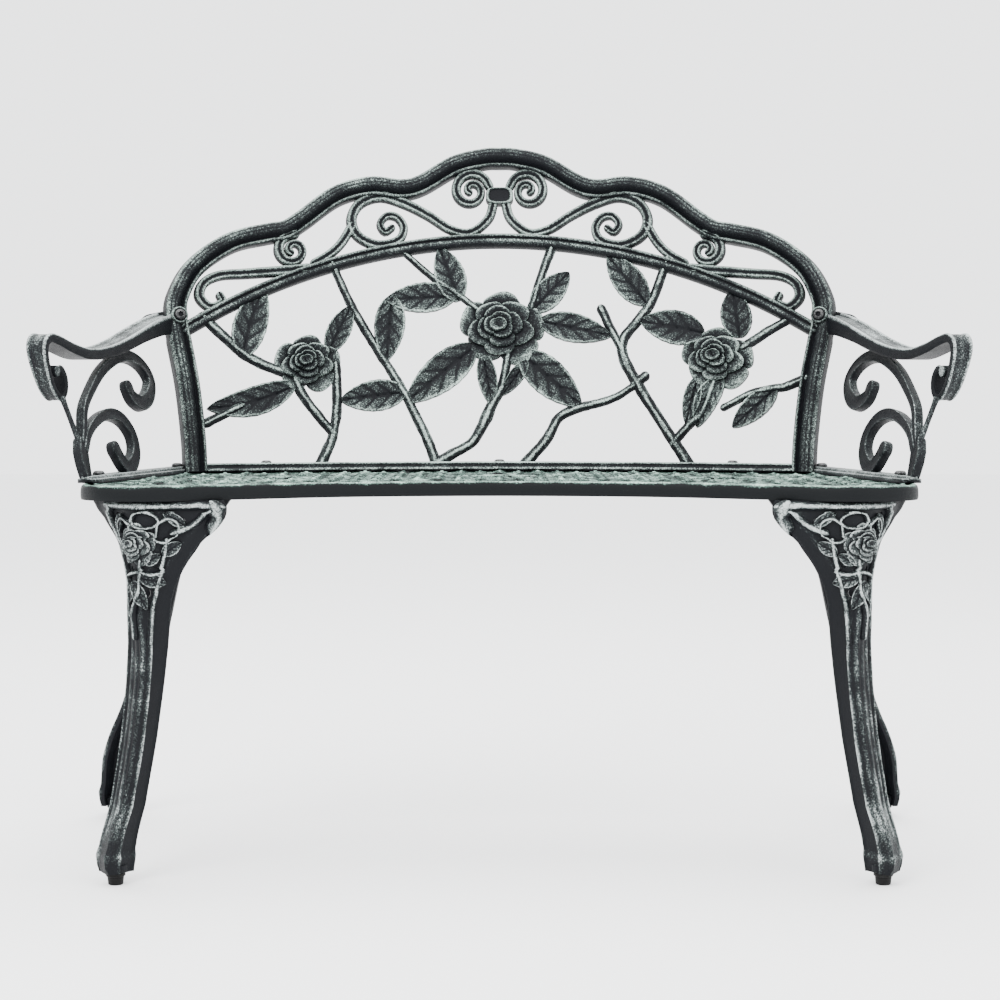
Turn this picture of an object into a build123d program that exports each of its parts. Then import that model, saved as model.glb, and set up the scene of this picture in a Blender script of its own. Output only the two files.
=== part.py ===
from build123d import *
import math
import os

os.makedirs("parts", exist_ok=True)

# Garden bench: a curved openwork back of roses over a kidney-shaped seat.
# Millimetres. X runs along the bench, -Y is the front, Z = 0 is the ground.

PLAN_SHIFT = 2.65

# --- seat -----------------------------------------------------------------
SEAT_TOP = 421.5
SEAT_RIM_DEPTH = 16.0
SEAT_RIM_WIDTH = 30.0
SEAT_PANEL_BOTTOM = 411.0
SEAT_PANEL_TOP = 419.5
SEAT_BOTTOM = SEAT_TOP - SEAT_RIM_DEPTH
SEAT_HALF_OUTLINE = [
    (0, -135), (160, -157), (280, -212), (362, -249), (424, -232),
    (446, -175), (434, -60), (414, 30), (396, 86), (380, 132),
]
SEAT_REAR = 171.0
SEAT_REAR_RADIUS = 965.0
LATTICE_PITCH_X = 46.0
LATTICE_PITCH_Y = 38.0
LATTICE_HOLE = 21.0
MEDALLIONS = [(-255, -30), (0, 20), (255, -30)]
MEDALLION_RADIUS = 44.0

# --- back -----------------------------------------------------------------
BACK_RADIUS = 1030.0
BACK_Y = 147.0
RECLINE = 12.0
BACK_LOW = SEAT_TOP - 20
BACK_HIGH = 840.0
HOOP_WIDTH = 24.0
POST_WIDTH = 26.0
HOOP_DEPTH = 26.0
RAIL_DEPTH = 18.0
SCROLL_DEPTH = 13.0
SCROLL_WIDTH = 9.5
TWIG_DEPTH = 12.0
LEAF_DEPTH = 7.0
BOTTOM_RAIL_HEIGHT = 10.0
BOTTOM_RAIL_DEPTH = 22.0
ARCH_END = (372, 593)
ARCH_CROWN = 703.0
ARCH_WIDTH = 14.0

HOOP_HALF = [
    (-386, 604), (-385, 630), (-366, 667), (-326, 697), (-283, 709), (-262, 713),
    (-242, 726), (-201, 757), (-160, 769), (-122, 766), (-97, 772), (-56, 796),
    (-20, 805),
]
POST_LINE = [(-386, 604), (-382, 580), (-371, 525), (-363, 463), (-360, 421.5)]

# --- arms -----------------------------------------------------------------
ARM_BASE = (-434, -150)
ARM_BASE_DIRECTION = (0.222, 0.975)
ARM_LEAN = 16.0
ARM_PANEL_THICKNESS = 10.0
FLANGE_START = -34.0
FLANGE_LENGTH = 296.0
FLANGE_WIDTH = 24.0
FLANGE_THICKNESS = 8.0
ARM_RAIL_ORIGIN = (-479, -150)
ARM_RAIL_DIRECTION = (0.292, 0.956)
ARM_RAIL_WIDTH = 30.0
# Thickness of the arm rail from the hoop to the end of its volute, evenly spaced.
ARM_RAIL_THICKNESS = [24, 19, 15, 13, 12, 11, 10, 8, 7, 7]
ARM_RAIL_LINE = [
    (288, 178), (240, 172), (195, 162), (150, 150), (105, 141), (60, 138), (20, 144),
    (-10, 152), (-28, 154), (-36, 144), (-30, 124), (-16, 102), (0, 91), (12, 97), (13, 111),
    (3, 122), (-7, 119),
]
# Front post: a leaning plate on the flange, then a thin strut up to the volute.
POST_PLATE_LINE = [(-26, 14), (-24, 28), (-18, 44)]
POST_PLATE_WIDTHS = [13, 12, 9]
STRUT_FOOT = (-18, 42)
STRUT_HEAD = (0, 91)
STRUT_SIDE = 9.0
STRUT_RADIUS = 3.4
UPPER_SCROLL = [
    (-14, 44), (-2, 60), (15, 82), (46, 102), (90, 124), (140, 139), (180, 142), (212, 132),
    (226, 114), (211, 96), (182, 86), (158, 93), (153, 104),
]
UPPER_SCROLL_WIDTHS = [8, 9, 11, 13, 13, 12, 10]
LOWER_SCROLL = [
    (-14, 36), (4, 52), (28, 64), (56, 72), (84, 74), (110, 67), (126, 50), (123, 31),
    (106, 17), (88, 12), (76, 21), (68, 34),
]
LOWER_SCROLL_WIDTHS = [9, 11, 13, 14, 13, 11]

# --- legs -----------------------------------------------------------------
LEG_WALL = 7.0
GLIDE_HEIGHT = 13.0
GLIDE_TOP_RADIUS = 10.0
GLIDE_FOOT_RADIUS = 8.0
LEG_PLATE = 7.5
LEG_PAD_RADIUS = 12.0
LEG_PAD_HEIGHT = 9.0
# Each row is one level of the leg: height, inner end, crown of the bend, outer end.
FRONT_LEG = [
    (398, (-278, -222), (-378, -238), (-434, -166)),
    (361, (-312, -228), (-378, -240), (-406, -190)),
    (301, (-343, -224), (-377, -236), (-392, -204)),
    (240, (-350, -218), (-378, -228), (-391, -198)),
    (154, (-364, -214), (-389, -226), (-400, -196)),
    (84, (-376, -219), (-401, -232), (-411, -202)),
    (40, (-386, -226), (-412, -240), (-422, -208)),
    (13, (-386, -229), (-412, -243), (-422, -209)),
]
REAR_LEG = [
    (398, (-296, 122), (-398, 112), (-430, 8)),
    (361, (-340, 130), (-408, 120), (-430, 60)),
    (301, (-384, 134), (-416, 129), (-431, 98)),
    (240, (-397, 135), (-427, 132), (-440, 104)),
    (154, (-413, 142), (-440, 142), (-451, 114)),
    (84, (-440, 152), (-468, 154), (-478, 126)),
    (40, (-448, 158), (-475, 160), (-485, 132)),
    (13, (-449, 160), (-476, 162), (-486, 133)),
]
FRONT_GLIDE = (-405, -224)
REAR_GLIDE = (-470, 148)

# --- fasteners ------------------------------------------------------------
BOLT_RADIUS = 3.0
HEAD_RADIUS = 6.5
HEAD_HEIGHT = 4.0
NUT_FLATS = 10.0
NUT_HEIGHT = 5.0
WASHER_RADIUS = 8.0
WASHER_THICKNESS = 1.5
RAIL_BOLT_X = [-279, 0, 279]
ARM_SEAT_STATIONS = [4, 236]
ARM_BACK_BOLT = (-385, 606)
BOSS_RADIUS = 10.0
BOSS_REACH = 17.0
LUG_THICKNESS = 6.0
LUG_LINE = [(-409, 600), (-398, 604), (-385, 606)]
THROUGH = 60.0


def save(shape, name):
    """Write one named piece, moved so that the bench is centred front to back."""
    export_step(Pos(0, PLAN_SHIFT, 0) * shape, f"parts/{name}.step")


def between(values, t):
    """Straight-line value at the fraction t of an evenly spaced list."""
    place = t * (len(values) - 1)
    index = min(int(place), len(values) - 2)
    return values[index] + (values[index + 1] - values[index]) * (place - index)


def ribbon(points, widths):
    """Flat stroke with round ends along a smooth curve, wider or narrower on the way."""
    curve = Spline(*points)
    count = 3 * len(points)
    left = []
    right = []
    for step in range(count + 1):
        t = step / count
        position = curve @ t
        direction = curve % t
        side = Vector(-direction.Y, direction.X) * (between(widths, t) / 2)
        left.append(position + side)
        right.append(position - side)
    start_tip = (curve @ 0) - (curve % 0) * (widths[0] / 2)
    end_tip = (curve @ 1) + (curve % 1) * (widths[-1] / 2)
    edges = [
        Spline(*left),
        ThreePointArc(left[-1], end_tip, right[-1]),
        Spline(*reversed(right)),
        ThreePointArc(right[0], start_tip, left[0]),
    ]
    return make_face(edges)


def leaf(base, tip, width, bend=0.0):
    """Pointed leaf from its stalk end to its tip, its middle pushed aside by bend."""
    start = Vector(*base)
    end = Vector(*tip)
    along = end - start
    side = Vector(-along.Y, along.X).normalized()
    third = start + along * 0.33 + side * bend
    half = width / 2
    narrow = start + along * 0.78 + side * bend
    one_edge = Spline(start, third + side * half, narrow + side * half * 0.62, end)
    other_edge = Spline(end, narrow - side * half * 0.62, third - side * half, start)
    return make_face([one_edge, other_edge])


def spiral(centre, first_radius, last_radius, first_angle, turn, grip=1.0, count=9):
    """Points on a spiral, angles in degrees; a grip over 1 keeps it wide for longer."""
    points = []
    for step in range(count + 1):
        t = step / count
        radius = first_radius + (last_radius - first_radius) * t ** grip
        angle = math.radians(first_angle + turn * t)
        points.append((centre[0] + radius * math.cos(angle), centre[1] + radius * math.sin(angle)))
    return points


def petal_ring(centre, half_width, half_height, lobes, wave):
    """Closed wavy outline of one layer of petals."""
    points = []
    count = lobes * 4
    for step in range(count):
        angle = math.tau * step / count
        swell = 1 + wave * math.cos(lobes * angle)
        x = centre[0] + half_width * swell * math.cos(angle)
        z = centre[1] + half_height * swell * math.sin(angle)
        points.append((x, z))
    return make_face(Spline(*points, periodic=True))


def flip(shape):
    """The same piece on the other side of the bench."""
    return mirror(shape, about=Plane.YZ)


def shell(front, rear):
    """Reclined, curved slab of the back between two depths from its middle surface."""
    lean = math.tan(math.radians(RECLINE))
    drop = (BACK_LOW - SEAT_TOP) * lean
    centre = Pos(0, BACK_Y - BACK_RADIUS + drop, BACK_LOW)
    ring = Circle(BACK_RADIUS + rear) - Circle(BACK_RADIUS + front)
    window = Pos(0, BACK_RADIUS) * Rectangle(1100, 900)
    height = BACK_HIGH - BACK_LOW
    path = Vector(0, height * lean, height)
    return extrude(centre * (ring & window), amount=path.length, dir=path.normalized())


def on_back(flat, front, rear):
    """Turn a flat drawing (x, z) into solid metal that follows the back."""
    block = extrude(Pos(0, 700, 0) * (Plane.XZ * flat), amount=900)
    return block & shell(front, rear)


def centred(flat, depth):
    return on_back(flat, -depth / 2, depth / 2)


def back_y(x, z):
    """Depth of the back's middle surface at one place."""
    sag = BACK_RADIUS - math.sqrt(BACK_RADIUS ** 2 - x ** 2)
    return BACK_Y - sag + (z - SEAT_TOP) * math.tan(math.radians(RECLINE))


def mirrored(points):
    return [(-x, z) for x, z in points]


# --- drawing of the back, all as (x, z) -----------------------------------
hoop_points = HOOP_HALF + [(0, 806)] + list(reversed(mirrored(HOOP_HALF)))
hoop_flat = ribbon(hoop_points, [HOOP_WIDTH, HOOP_WIDTH])
post_flat = ribbon(POST_LINE, [HOOP_WIDTH, POST_WIDTH, POST_WIDTH])
below_seat = Pos(0, SEAT_TOP - 50) * Rectangle(1000, 100)
post_flat = post_flat - below_seat - hoop_flat
posts_flat = post_flat + mirror(post_flat, about=Plane.YZ)

arch_line = ThreePointArc((-ARCH_END[0], ARCH_END[1]), (0, ARCH_CROWN), ARCH_END)
arch_points = [arch_line @ (step / 8) for step in range(9)]
arch_flat = ribbon(arch_points, [ARCH_WIDTH, ARCH_WIDTH]) - hoop_flat - posts_flat

bottom_flat = Pos(0, SEAT_TOP + BOTTOM_RAIL_HEIGHT / 2) * Rectangle(720, BOTTOM_RAIL_HEIGHT)
bottom_flat = bottom_flat - posts_flat
frame_flat = hoop_flat + posts_flat + arch_flat + bottom_flat

clasp_flat = Pos(0, 758) * RectangleRounded(34, 20, 5)

# Scrolls between the hoop and the arch rail, left-hand side.
crest_volute = spiral((-34, 767), 21, 5, 10, 410, 2.0)
inner_stem = [
    (-7, 750), (-15, 730), (-36, 714), (-61, 717), (-88, 734), (-118, 749), (-147, 755),
    (-170, 747), (-180, 727), (-173, 709), (-152, 698), (-129, 704), (-119, 720),
    (-128, 733), (-142, 730),
]
link_stem = [(-184, 716), (-194, 699), (-208, 685), (-224, 675)]
small_volute = spiral((-254, 689), 15, 6, 95, 330)
outer_stem = [
    (-236, 664), (-262, 663), (-307, 659), (-338, 656), (-356, 646), (-360, 631),
    (-346, 620), (-333, 627),
]
STROKES = [crest_volute, inner_stem, link_stem, small_volute, outer_stem]


def scroll_drawing():
    flat = ribbon(STROKES[0], [SCROLL_WIDTH, SCROLL_WIDTH])
    for stroke in STROKES[1:]:
        flat += ribbon(stroke, [SCROLL_WIDTH, SCROLL_WIDTH])
    return flat


scroll_flat = scroll_drawing() - frame_flat - clasp_flat
scrolls_flat = scroll_flat + mirror(scroll_flat, about=Plane.YZ)

# Roses: centre, half width, half height of the outer ring of petals.
ROSES = {
    "rose_left": ((-232, 551), 39, 34),
    "rose_centre": ((4, 594), 52, 45),
    "rose_right": ((264, 557), 42, 37),
}
rose_flats = {}
all_roses = None
for rose_name, (centre, half_width, half_height) in ROSES.items():
    rose_flats[rose_name] = petal_ring(centre, half_width, half_height, 5, 0.05)
    all_roses = rose_flats[rose_name] if all_roses is None else all_roses + rose_flats[rose_name]

# Rose stems: points, then width at the two ends.
VINES = {
    "vine_left": [
        ([(-352, 603), (-328, 580), (-310, 564), (-290, 552), (-262, 541)], 13, 13),
        ([(-246, 528), (-240, 516), (-224, 494), (-203, 470)], 13, 11),
        ([(-199, 545), (-197, 511), (-198, 488), (-202, 462), (-211, 440), (-217, 426)], 13, 14),
        ([(-205, 676), (-180, 620), (-151, 571), (-116, 515), (-87, 457), (-76, 425)], 11, 12),
        ([(-360, 476), (-336, 487), (-313, 499)], 13, 10),
    ],
    "vine_centre": [
        ([(12, 560), (3, 524), (-10, 500), (-21, 475), (-34, 455), (-57, 442), (-78, 429)], 11, 14),
        ([(-123, 692), (-82, 657), (-51, 636), (-28, 618)], 9, 9),
        ([(65, 697), (52, 660), (42, 625)], 12, 10),
    ],
    "vine_right": [
        ([(30, 424), (58, 460), (72, 485), (96, 497), (136, 508), (158, 521)], 14, 9),
        ([(203, 678), (187, 629), (171, 606), (152, 582), (151, 560), (167, 528), (193, 485),
          (230, 424)], 12, 15),
        ([(125, 618), (136, 594), (148, 570)], 12, 11),
        ([(213, 458), (228, 476), (245, 493), (260, 530)], 11, 10),
        ([(296, 572), (324, 590), (346, 603)], 12, 11),
        ([(372, 537), (344, 524), (327, 521), (302, 515), (270, 498)], 12, 9),
    ],
}

# Leaves: stalk end, tip, width, sideways bend of the blade.
LEAVES = {
    "leaves_left": [
        ((-309, 562), (-286, 641), 34, 3),
        ((-250, 524), (-348, 498), 30, 5),
        ((-208, 568), (-181, 621), 24, 0),
        ((-117, 515), (-192, 508), 32, 0),
        ((-132, 632), (-138, 555), 32, 0),
        ((-57, 634), (-139, 629), 31, 0),
    ],
    "leaves_centre": [
        ((-32, 570), (-113, 505), 38, 0),
        ((-51, 630), (-74, 693), 32, 0),
        ((42, 618), (85, 662), 29, 0),
        ((52, 602), (136, 585), 30, 0),
        ((28, 562), (99, 500), 38, 0),
        ((-20, 560), (-9, 500), 21, 0),
        ((34, 552), (4, 513), 16, 0),
    ],
    "leaves_right": [
        ((180, 625), (134, 683), 32, 0),
        ((247, 588), (173, 603), 35, 0),
        ((290, 583), (283, 640), 31, 0),
        ((330, 520), (281, 475), 23, 0),
        ((240, 532), (225, 479), 18, 0),
        ((268, 532), (239, 475), 24, -4),
    ],
}

vine_flats = {}
all_vines = None
for vine_name, stems in VINES.items():
    flat = None
    for points, first_width, last_width in stems:
        stem = ribbon(points, [first_width, last_width])
        flat = stem if flat is None else flat + stem
    flat = flat - frame_flat - all_roses - scrolls_flat - below_seat
    if all_vines is not None:
        flat = flat - all_vines
    vine_flats[vine_name] = flat
    all_vines = flat if all_vines is None else all_vines + flat

leaf_flats = {}
taken = frame_flat + all_roses + all_vines + scrolls_flat
for leaves_name, blades in LEAVES.items():
    flat = None
    for base, tip, width, bend in blades:
        blade = leaf(base, tip, width, bend)
        flat = blade if flat is None else flat + blade
    leaf_flats[leaves_name] = flat - taken
    taken = taken + leaf_flats[leaves_name]


# --- fastener helpers -----------------------------------------------------
def domed_bolt(length):
    """Round-headed bolt standing along Z, its head resting on Z = 0."""
    shank = Cylinder(BOLT_RADIUS, length, align=(Align.CENTER, Align.CENTER, Align.MAX))
    dome_radius = (HEAD_RADIUS ** 2 + HEAD_HEIGHT ** 2) / (2 * HEAD_HEIGHT)
    dome = Pos(0, 0, HEAD_HEIGHT - dome_radius) * Sphere(dome_radius)
    return shank + (dome & upright(HEAD_RADIUS, HEAD_HEIGHT))


def nut():
    """Hexagon nut lying on Z = 0 with a clear hole for its bolt."""
    flat = RegularPolygon(NUT_FLATS / 2, 6, major_radius=False) - Circle(BOLT_RADIUS)
    return extrude(flat, amount=NUT_HEIGHT)


def washer():
    return extrude(Circle(WASHER_RADIUS) - Circle(BOLT_RADIUS), amount=WASHER_THICKNESS)


def hole(length):
    """Clearance for one bolt, along Z and both ways from its middle."""
    return Cylinder(BOLT_RADIUS, length)


def upright(shape_radius, height):
    """Cylinder standing on Z = 0."""
    return Cylinder(shape_radius, height, align=(Align.CENTER, Align.CENTER, Align.MIN))


def group(shapes):
    return Compound(list(shapes))


# --- bolt places ----------------------------------------------------------
rail_places = [Pos(x, back_y(x, SEAT_TOP), 0) for x in RAIL_BOLT_X]
flange_unit = Vector(*ARM_BASE_DIRECTION).normalized()
left_arm_places = []
for station in ARM_SEAT_STATIONS:
    spot = Vector(*ARM_BASE) + flange_unit * station
    left_arm_places.append(Pos(spot.X, spot.Y, 0))
arm_places = left_arm_places + [Pos(-p.position.X, p.position.Y, 0) for p in left_arm_places]
arm_back_y = back_y(*ARM_BACK_BOLT)

# --- back pieces ----------------------------------------------------------
turn = math.asin(ARM_BACK_BOLT[0] / BACK_RADIUS)
boss_forward = Vector(
    -math.sin(turn), -math.cos(turn), math.cos(turn) * math.tan(math.radians(RECLINE)))
boss_plane = Plane(
    origin=(ARM_BACK_BOLT[0], arm_back_y, ARM_BACK_BOLT[1]), z_dir=boss_forward.normalized())
boss_hole = boss_plane * hole(90)
boss = boss_plane * upright(BOSS_RADIUS, BOSS_REACH)
hoop = centred(hoop_flat, HOOP_DEPTH) + boss + flip(boss)
hoop = hoop - boss_hole - flip(boss_hole)
save(hoop, "back_hoop")

post_left = centred(post_flat, HOOP_DEPTH) - boss - boss_hole
save(post_left, "back_post_left")
save(flip(post_left), "back_post_right")
save(centred(arch_flat, RAIL_DEPTH), "back_arch_rail")

bottom_rail = centred(bottom_flat, BOTTOM_RAIL_DEPTH)
for place in rail_places:
    bottom_rail -= place * Pos(0, 0, SEAT_TOP) * hole(THROUGH)
save(bottom_rail, "back_bottom_rail")

scroll_left = centred(scroll_flat, SCROLL_DEPTH)
save(scroll_left, "back_scrolls_left")
save(flip(scroll_left), "back_scrolls_right")
save(centred(clasp_flat - frame_flat, SCROLL_DEPTH + 5), "scroll_clasp")

for rose_name, (centre, half_width, half_height) in ROSES.items():
    outer = rose_flats[rose_name] - frame_flat
    middle = petal_ring(centre, half_width * 0.7, half_height * 0.7, 5, 0.06)
    bud = Pos(*centre) * Circle(half_height * 0.36)
    rose = on_back(outer, -12, 6) + on_back(middle, -20, 0) + on_back(bud, -26, 0)
    save(rose, rose_name)

for vine_name, flat in vine_flats.items():
    save(centred(flat, TWIG_DEPTH), vine_name)
for leaves_name, flat in leaf_flats.items():
    save(centred(flat, LEAF_DEPTH), leaves_name)

# --- seat -----------------------------------------------------------------
def kidney(inset):
    """Plan of the seat drawn a steady distance inside its edge."""
    side = Spline(*SEAT_HALF_OUTLINE, tangents=[(1, 0), (-0.33, 0.94)])
    right = []
    for step in range(25):
        position = side @ (step / 24)
        direction = side % (step / 24)
        right.append(position + Vector(-direction.Y, direction.X) * inset)
    left = [Vector(-point.X, point.Y) for point in reversed(right)]
    blank = make_face([Spline(*right), Line(right[-1], left[0]), Spline(*left)])
    return blank & Pos(0, SEAT_REAR - SEAT_REAR_RADIUS) * Circle(SEAT_REAR_RADIUS - inset)


seat_outline = kidney(0)
seat_inner = kidney(SEAT_RIM_WIDTH)
keep_clear = kidney(SEAT_RIM_WIDTH + 8)
for centre in MEDALLIONS:
    keep_clear -= Pos(*centre) * Circle(MEDALLION_RADIUS)
openings = []
for column in range(-10, 11):
    for row in range(-14, 9):
        shift = LATTICE_PITCH_X / 2 if row % 2 else 0
        place = Pos(column * LATTICE_PITCH_X + shift, row * LATTICE_PITCH_Y / 2)
        opening = place * Rot(0, 0, 45) * RectangleRounded(LATTICE_HOLE, LATTICE_HOLE, 5)
        trimmed = opening & keep_clear
        if trimmed and trimmed.area > 0.97 * opening.area:
            openings.append(extrude(Pos(0, 0, SEAT_BOTTOM) * opening, amount=SEAT_RIM_DEPTH))


def knee_plan(levels):
    """Plan of the plate on top of a leg: the bend of the knee closed by its chord."""
    height, inner, crown, outer = levels[0]
    return make_face([ThreePointArc(inner, crown, outer), Line(outer, inner)])


pocket = seat_inner
for plan in (knee_plan(FRONT_LEG), knee_plan(REAR_LEG)):
    pocket = pocket - plan - mirror(plan, about=Plane.YZ)
recess_depth = SEAT_TOP - SEAT_PANEL_TOP
seat = extrude(Pos(0, 0, SEAT_BOTTOM) * seat_outline, amount=SEAT_RIM_DEPTH)
seat -= extrude(Pos(0, 0, SEAT_BOTTOM) * pocket, amount=SEAT_PANEL_BOTTOM - SEAT_BOTTOM)
seat -= extrude(Pos(0, 0, SEAT_PANEL_TOP) * seat_inner, amount=recess_depth)
seat = seat - openings
for place in rail_places + arm_places:
    seat -= place * Pos(0, 0, SEAT_TOP) * hole(THROUGH)

# --- legs -----------------------------------------------------------------
LEG_BOLTS = {"front": [(-330, -216), (-400, -190)], "rear": [(-336, 108), (-402, 64)]}


def leg_section(level):
    """Bent strip of metal at one height of a leg."""
    height, inner, crown, outer = level
    bend = ThreePointArc(inner, crown, outer)
    centre = Vector(bend.arc_center.X, bend.arc_center.Y)
    radius = bend.radius
    scale = (radius - LEG_WALL) / radius
    inner_arc = [centre + (Vector(*point) - centre) * scale for point in (outer, crown, inner)]
    edges = [
        bend,
        Line(outer, inner_arc[0]),
        ThreePointArc(*inner_arc),
        Line(inner_arc[2], inner),
    ]
    return Pos(0, 0, height) * make_face(edges)


def knee_openings(crown):
    """Cutter for the oval opening over the knee rose and the slots beside it."""
    drawing = Plane(origin=(crown[0], crown[1], 0), x_dir=(1, 0, 0), z_dir=(0, -1, 0))
    ovals = Pos(2, 382) * Ellipse(14, 7)
    for offset in (-19, 25):
        ovals += Pos(offset, 360) * Ellipse(4.5, 9)
    return extrude(drawing * ovals, amount=THROUGH, both=True)


def build_leg(levels, glide, bolts):
    """One cabriole leg: thin bent wall, pierced knee, top plate and foot pad."""
    body = loft([leg_section(level) for level in reversed(levels)])
    plate = extrude(Pos(0, 0, levels[0][0]) * knee_plan(levels), amount=LEG_PLATE)
    pad = Pos(glide[0], glide[1], GLIDE_HEIGHT) * upright(LEG_PAD_RADIUS, LEG_PAD_HEIGHT)
    height, inner, crown, outer = levels[1]
    leg = (body - knee_openings(crown)) + plate + pad
    for x, y in bolts:
        leg -= Pos(x, y, levels[0][0]) * hole(THROUGH)
    return leg


def build_glide(place):
    """Tapered plastic foot with a shoulder ring, flat underneath."""
    cone = Cone(GLIDE_FOOT_RADIUS, GLIDE_TOP_RADIUS, GLIDE_HEIGHT,
                align=(Align.CENTER, Align.CENTER, Align.MIN))
    return Pos(place[0], place[1], 0) * cone


front_leg = build_leg(FRONT_LEG, FRONT_GLIDE, LEG_BOLTS["front"])
rear_arm_spot = left_arm_places[1].position
rear_spots = LEG_BOLTS["rear"] + [(rear_arm_spot.X, rear_arm_spot.Y)]
rear_leg = build_leg(REAR_LEG, REAR_GLIDE, rear_spots)
save(front_leg, "leg_front_left")
save(flip(front_leg), "leg_front_right")
save(rear_leg, "leg_rear_left")
save(flip(rear_leg), "leg_rear_right")
for place, name in ((FRONT_GLIDE, "front"), (REAR_GLIDE, "rear")):
    foot = build_glide(place)
    save(foot, f"glide_{name}_left")
    save(flip(foot), f"glide_{name}_right")

leg_bolt_places = []
for spots in LEG_BOLTS.values():
    for x, y in spots:
        leg_bolt_places.append(Pos(x, y, 0))
        leg_bolt_places.append(Pos(-x, y, 0))
for place in leg_bolt_places:
    seat -= place * Pos(0, 0, SEAT_BOTTOM) * Cylinder(
        BOLT_RADIUS, 8, align=(Align.CENTER, Align.CENTER, Align.CENTER))
save(seat, "seat")

# --- arms -----------------------------------------------------------------
lean = math.radians(ARM_LEAN)
outward = Vector(-flange_unit.Y, flange_unit.X, 0)
panel_up = outward * math.sin(lean) + Vector(0, 0, math.cos(lean))
panel_plane = Plane(
    origin=(ARM_BASE[0], ARM_BASE[1], SEAT_TOP), x_dir=flange_unit,
    z_dir=flange_unit.cross(panel_up))
rail_unit = Vector(*ARM_RAIL_DIRECTION).normalized()
rail_plane = Plane(
    origin=(ARM_RAIL_ORIGIN[0], ARM_RAIL_ORIGIN[1], SEAT_TOP), x_dir=rail_unit,
    z_dir=rail_unit.cross(Vector(0, 0, 1)))

rail_flat = ribbon(ARM_RAIL_LINE, ARM_RAIL_THICKNESS)
arm_rail = extrude(rail_plane * rail_flat, amount=ARM_RAIL_WIDTH / 2, both=True)
lug_front = HOOP_DEPTH / 2
lug_rear = lug_front + LUG_THICKNESS
lug = on_back(ribbon(LUG_LINE, [HOOP_WIDTH, HOOP_WIDTH]), lug_front, lug_rear)
arm_rail = arm_rail - shell(lug_rear, 200) + lug
arm_rail = arm_rail - hoop - post_left - boss_hole

flange_plane = Plane(origin=(ARM_BASE[0], ARM_BASE[1], SEAT_TOP), x_dir=flange_unit, z_dir=(0, 0, 1))
flange_block = Box(
    FLANGE_LENGTH, FLANGE_WIDTH, FLANGE_THICKNESS, align=(Align.MIN, Align.CENTER, Align.MIN))
flange = flange_plane * Pos(FLANGE_START, 0, 0) * flange_block
for place in left_arm_places:
    flange -= place * Pos(0, 0, SEAT_TOP) * hole(THROUGH)
flange = flange - post_left
below_rail = arm_rail + flange


def panel(flat):
    """Flat drawing made solid in the leaning panel, trimmed to the rail and the flange."""
    block = extrude(panel_plane * flat, amount=ARM_PANEL_THICKNESS / 2, both=True)
    return block - below_rail


plate_foot = Pos(POST_PLATE_LINE[0][0], FLANGE_THICKNESS + 4) * Rectangle(POST_PLATE_WIDTHS[0], 12)
plate_flat = ribbon(POST_PLATE_LINE, POST_PLATE_WIDTHS) + plate_foot
strut_from = panel_plane.from_local_coords(Vector(*STRUT_FOOT))
strut_to = rail_plane.from_local_coords(Vector(STRUT_HEAD[0], STRUT_HEAD[1], STRUT_SIDE))
strut_plane = Plane(origin=strut_from, z_dir=strut_to - strut_from)
strut = strut_plane * upright(STRUT_RADIUS, (strut_to - strut_from).length)
arm_post = panel(plate_flat) + (strut - arm_rail)
upper_flat = ribbon(UPPER_SCROLL, UPPER_SCROLL_WIDTHS) - plate_flat
lower_flat = ribbon(LOWER_SCROLL, LOWER_SCROLL_WIDTHS) - plate_flat - upper_flat
upper = panel(upper_flat) - strut
lower = panel(lower_flat) - strut
for shape, name in ((arm_rail, "arm_rail"), (flange, "arm_flange"), (arm_post, "arm_post"),
                    (upper, "arm_upper_scroll"), (lower, "arm_lower_scroll")):
    save(shape, f"{name}_left")
    save(flip(shape), f"{name}_right")

# --- fasteners ------------------------------------------------------------
rail_top = SEAT_TOP + BOTTOM_RAIL_HEIGHT
rail_bolt = domed_bolt(BOTTOM_RAIL_HEIGHT + SEAT_RIM_DEPTH + 10)
save(group(place * Pos(0, 0, rail_top) * rail_bolt for place in rail_places), "rail_bolts")
flange_top = SEAT_TOP + FLANGE_THICKNESS
leg_top = FRONT_LEG[0][0]
arm_front_bolt = domed_bolt(flange_top - SEAT_BOTTOM + 10)
arm_rear_bolt = domed_bolt(flange_top - leg_top + 10)
arm_front_places = [arm_places[0], arm_places[2]]
arm_rear_places = [arm_places[1], arm_places[3]]
arm_bolts = [place * Pos(0, 0, flange_top) * arm_front_bolt for place in arm_front_places]
arm_bolts += [place * Pos(0, 0, flange_top) * arm_rear_bolt for place in arm_rear_places]
save(group(arm_bolts), "arm_seat_bolts")

# A rear arm bolt passes through the leg plate as well, so its nut sits lower.
nut_places = [place * Pos(0, 0, SEAT_BOTTOM) for place in rail_places + arm_front_places]
nut_places += [place * Pos(0, 0, leg_top) for place in arm_rear_places]
washer_drop = Pos(0, 0, -WASHER_THICKNESS)
nut_drop = Pos(0, 0, -WASHER_THICKNESS - NUT_HEIGHT)
save(group(place * washer_drop * washer() for place in nut_places), "seat_washers")
save(group(place * nut_drop * nut() for place in nut_places), "seat_nuts")

leg_bolt = Rot(180, 0, 0) * domed_bolt(9)
save(group(place * Pos(0, 0, leg_top) * leg_bolt for place in leg_bolt_places), "leg_bolts")

joint_length = BOSS_REACH + lug_rear + NUT_HEIGHT + 4
joint_bolt = boss_plane * Pos(0, 0, BOSS_REACH) * domed_bolt(joint_length)
save(group([joint_bolt, flip(joint_bolt)]), "arm_back_bolts")
joint_nut = boss_plane * Pos(0, 0, -lug_rear - NUT_HEIGHT - 0.2) * nut()
save(group([joint_nut, flip(joint_nut)]), "arm_back_nuts")
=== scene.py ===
import math

import bmesh
import bpy
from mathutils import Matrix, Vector, noise


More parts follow.
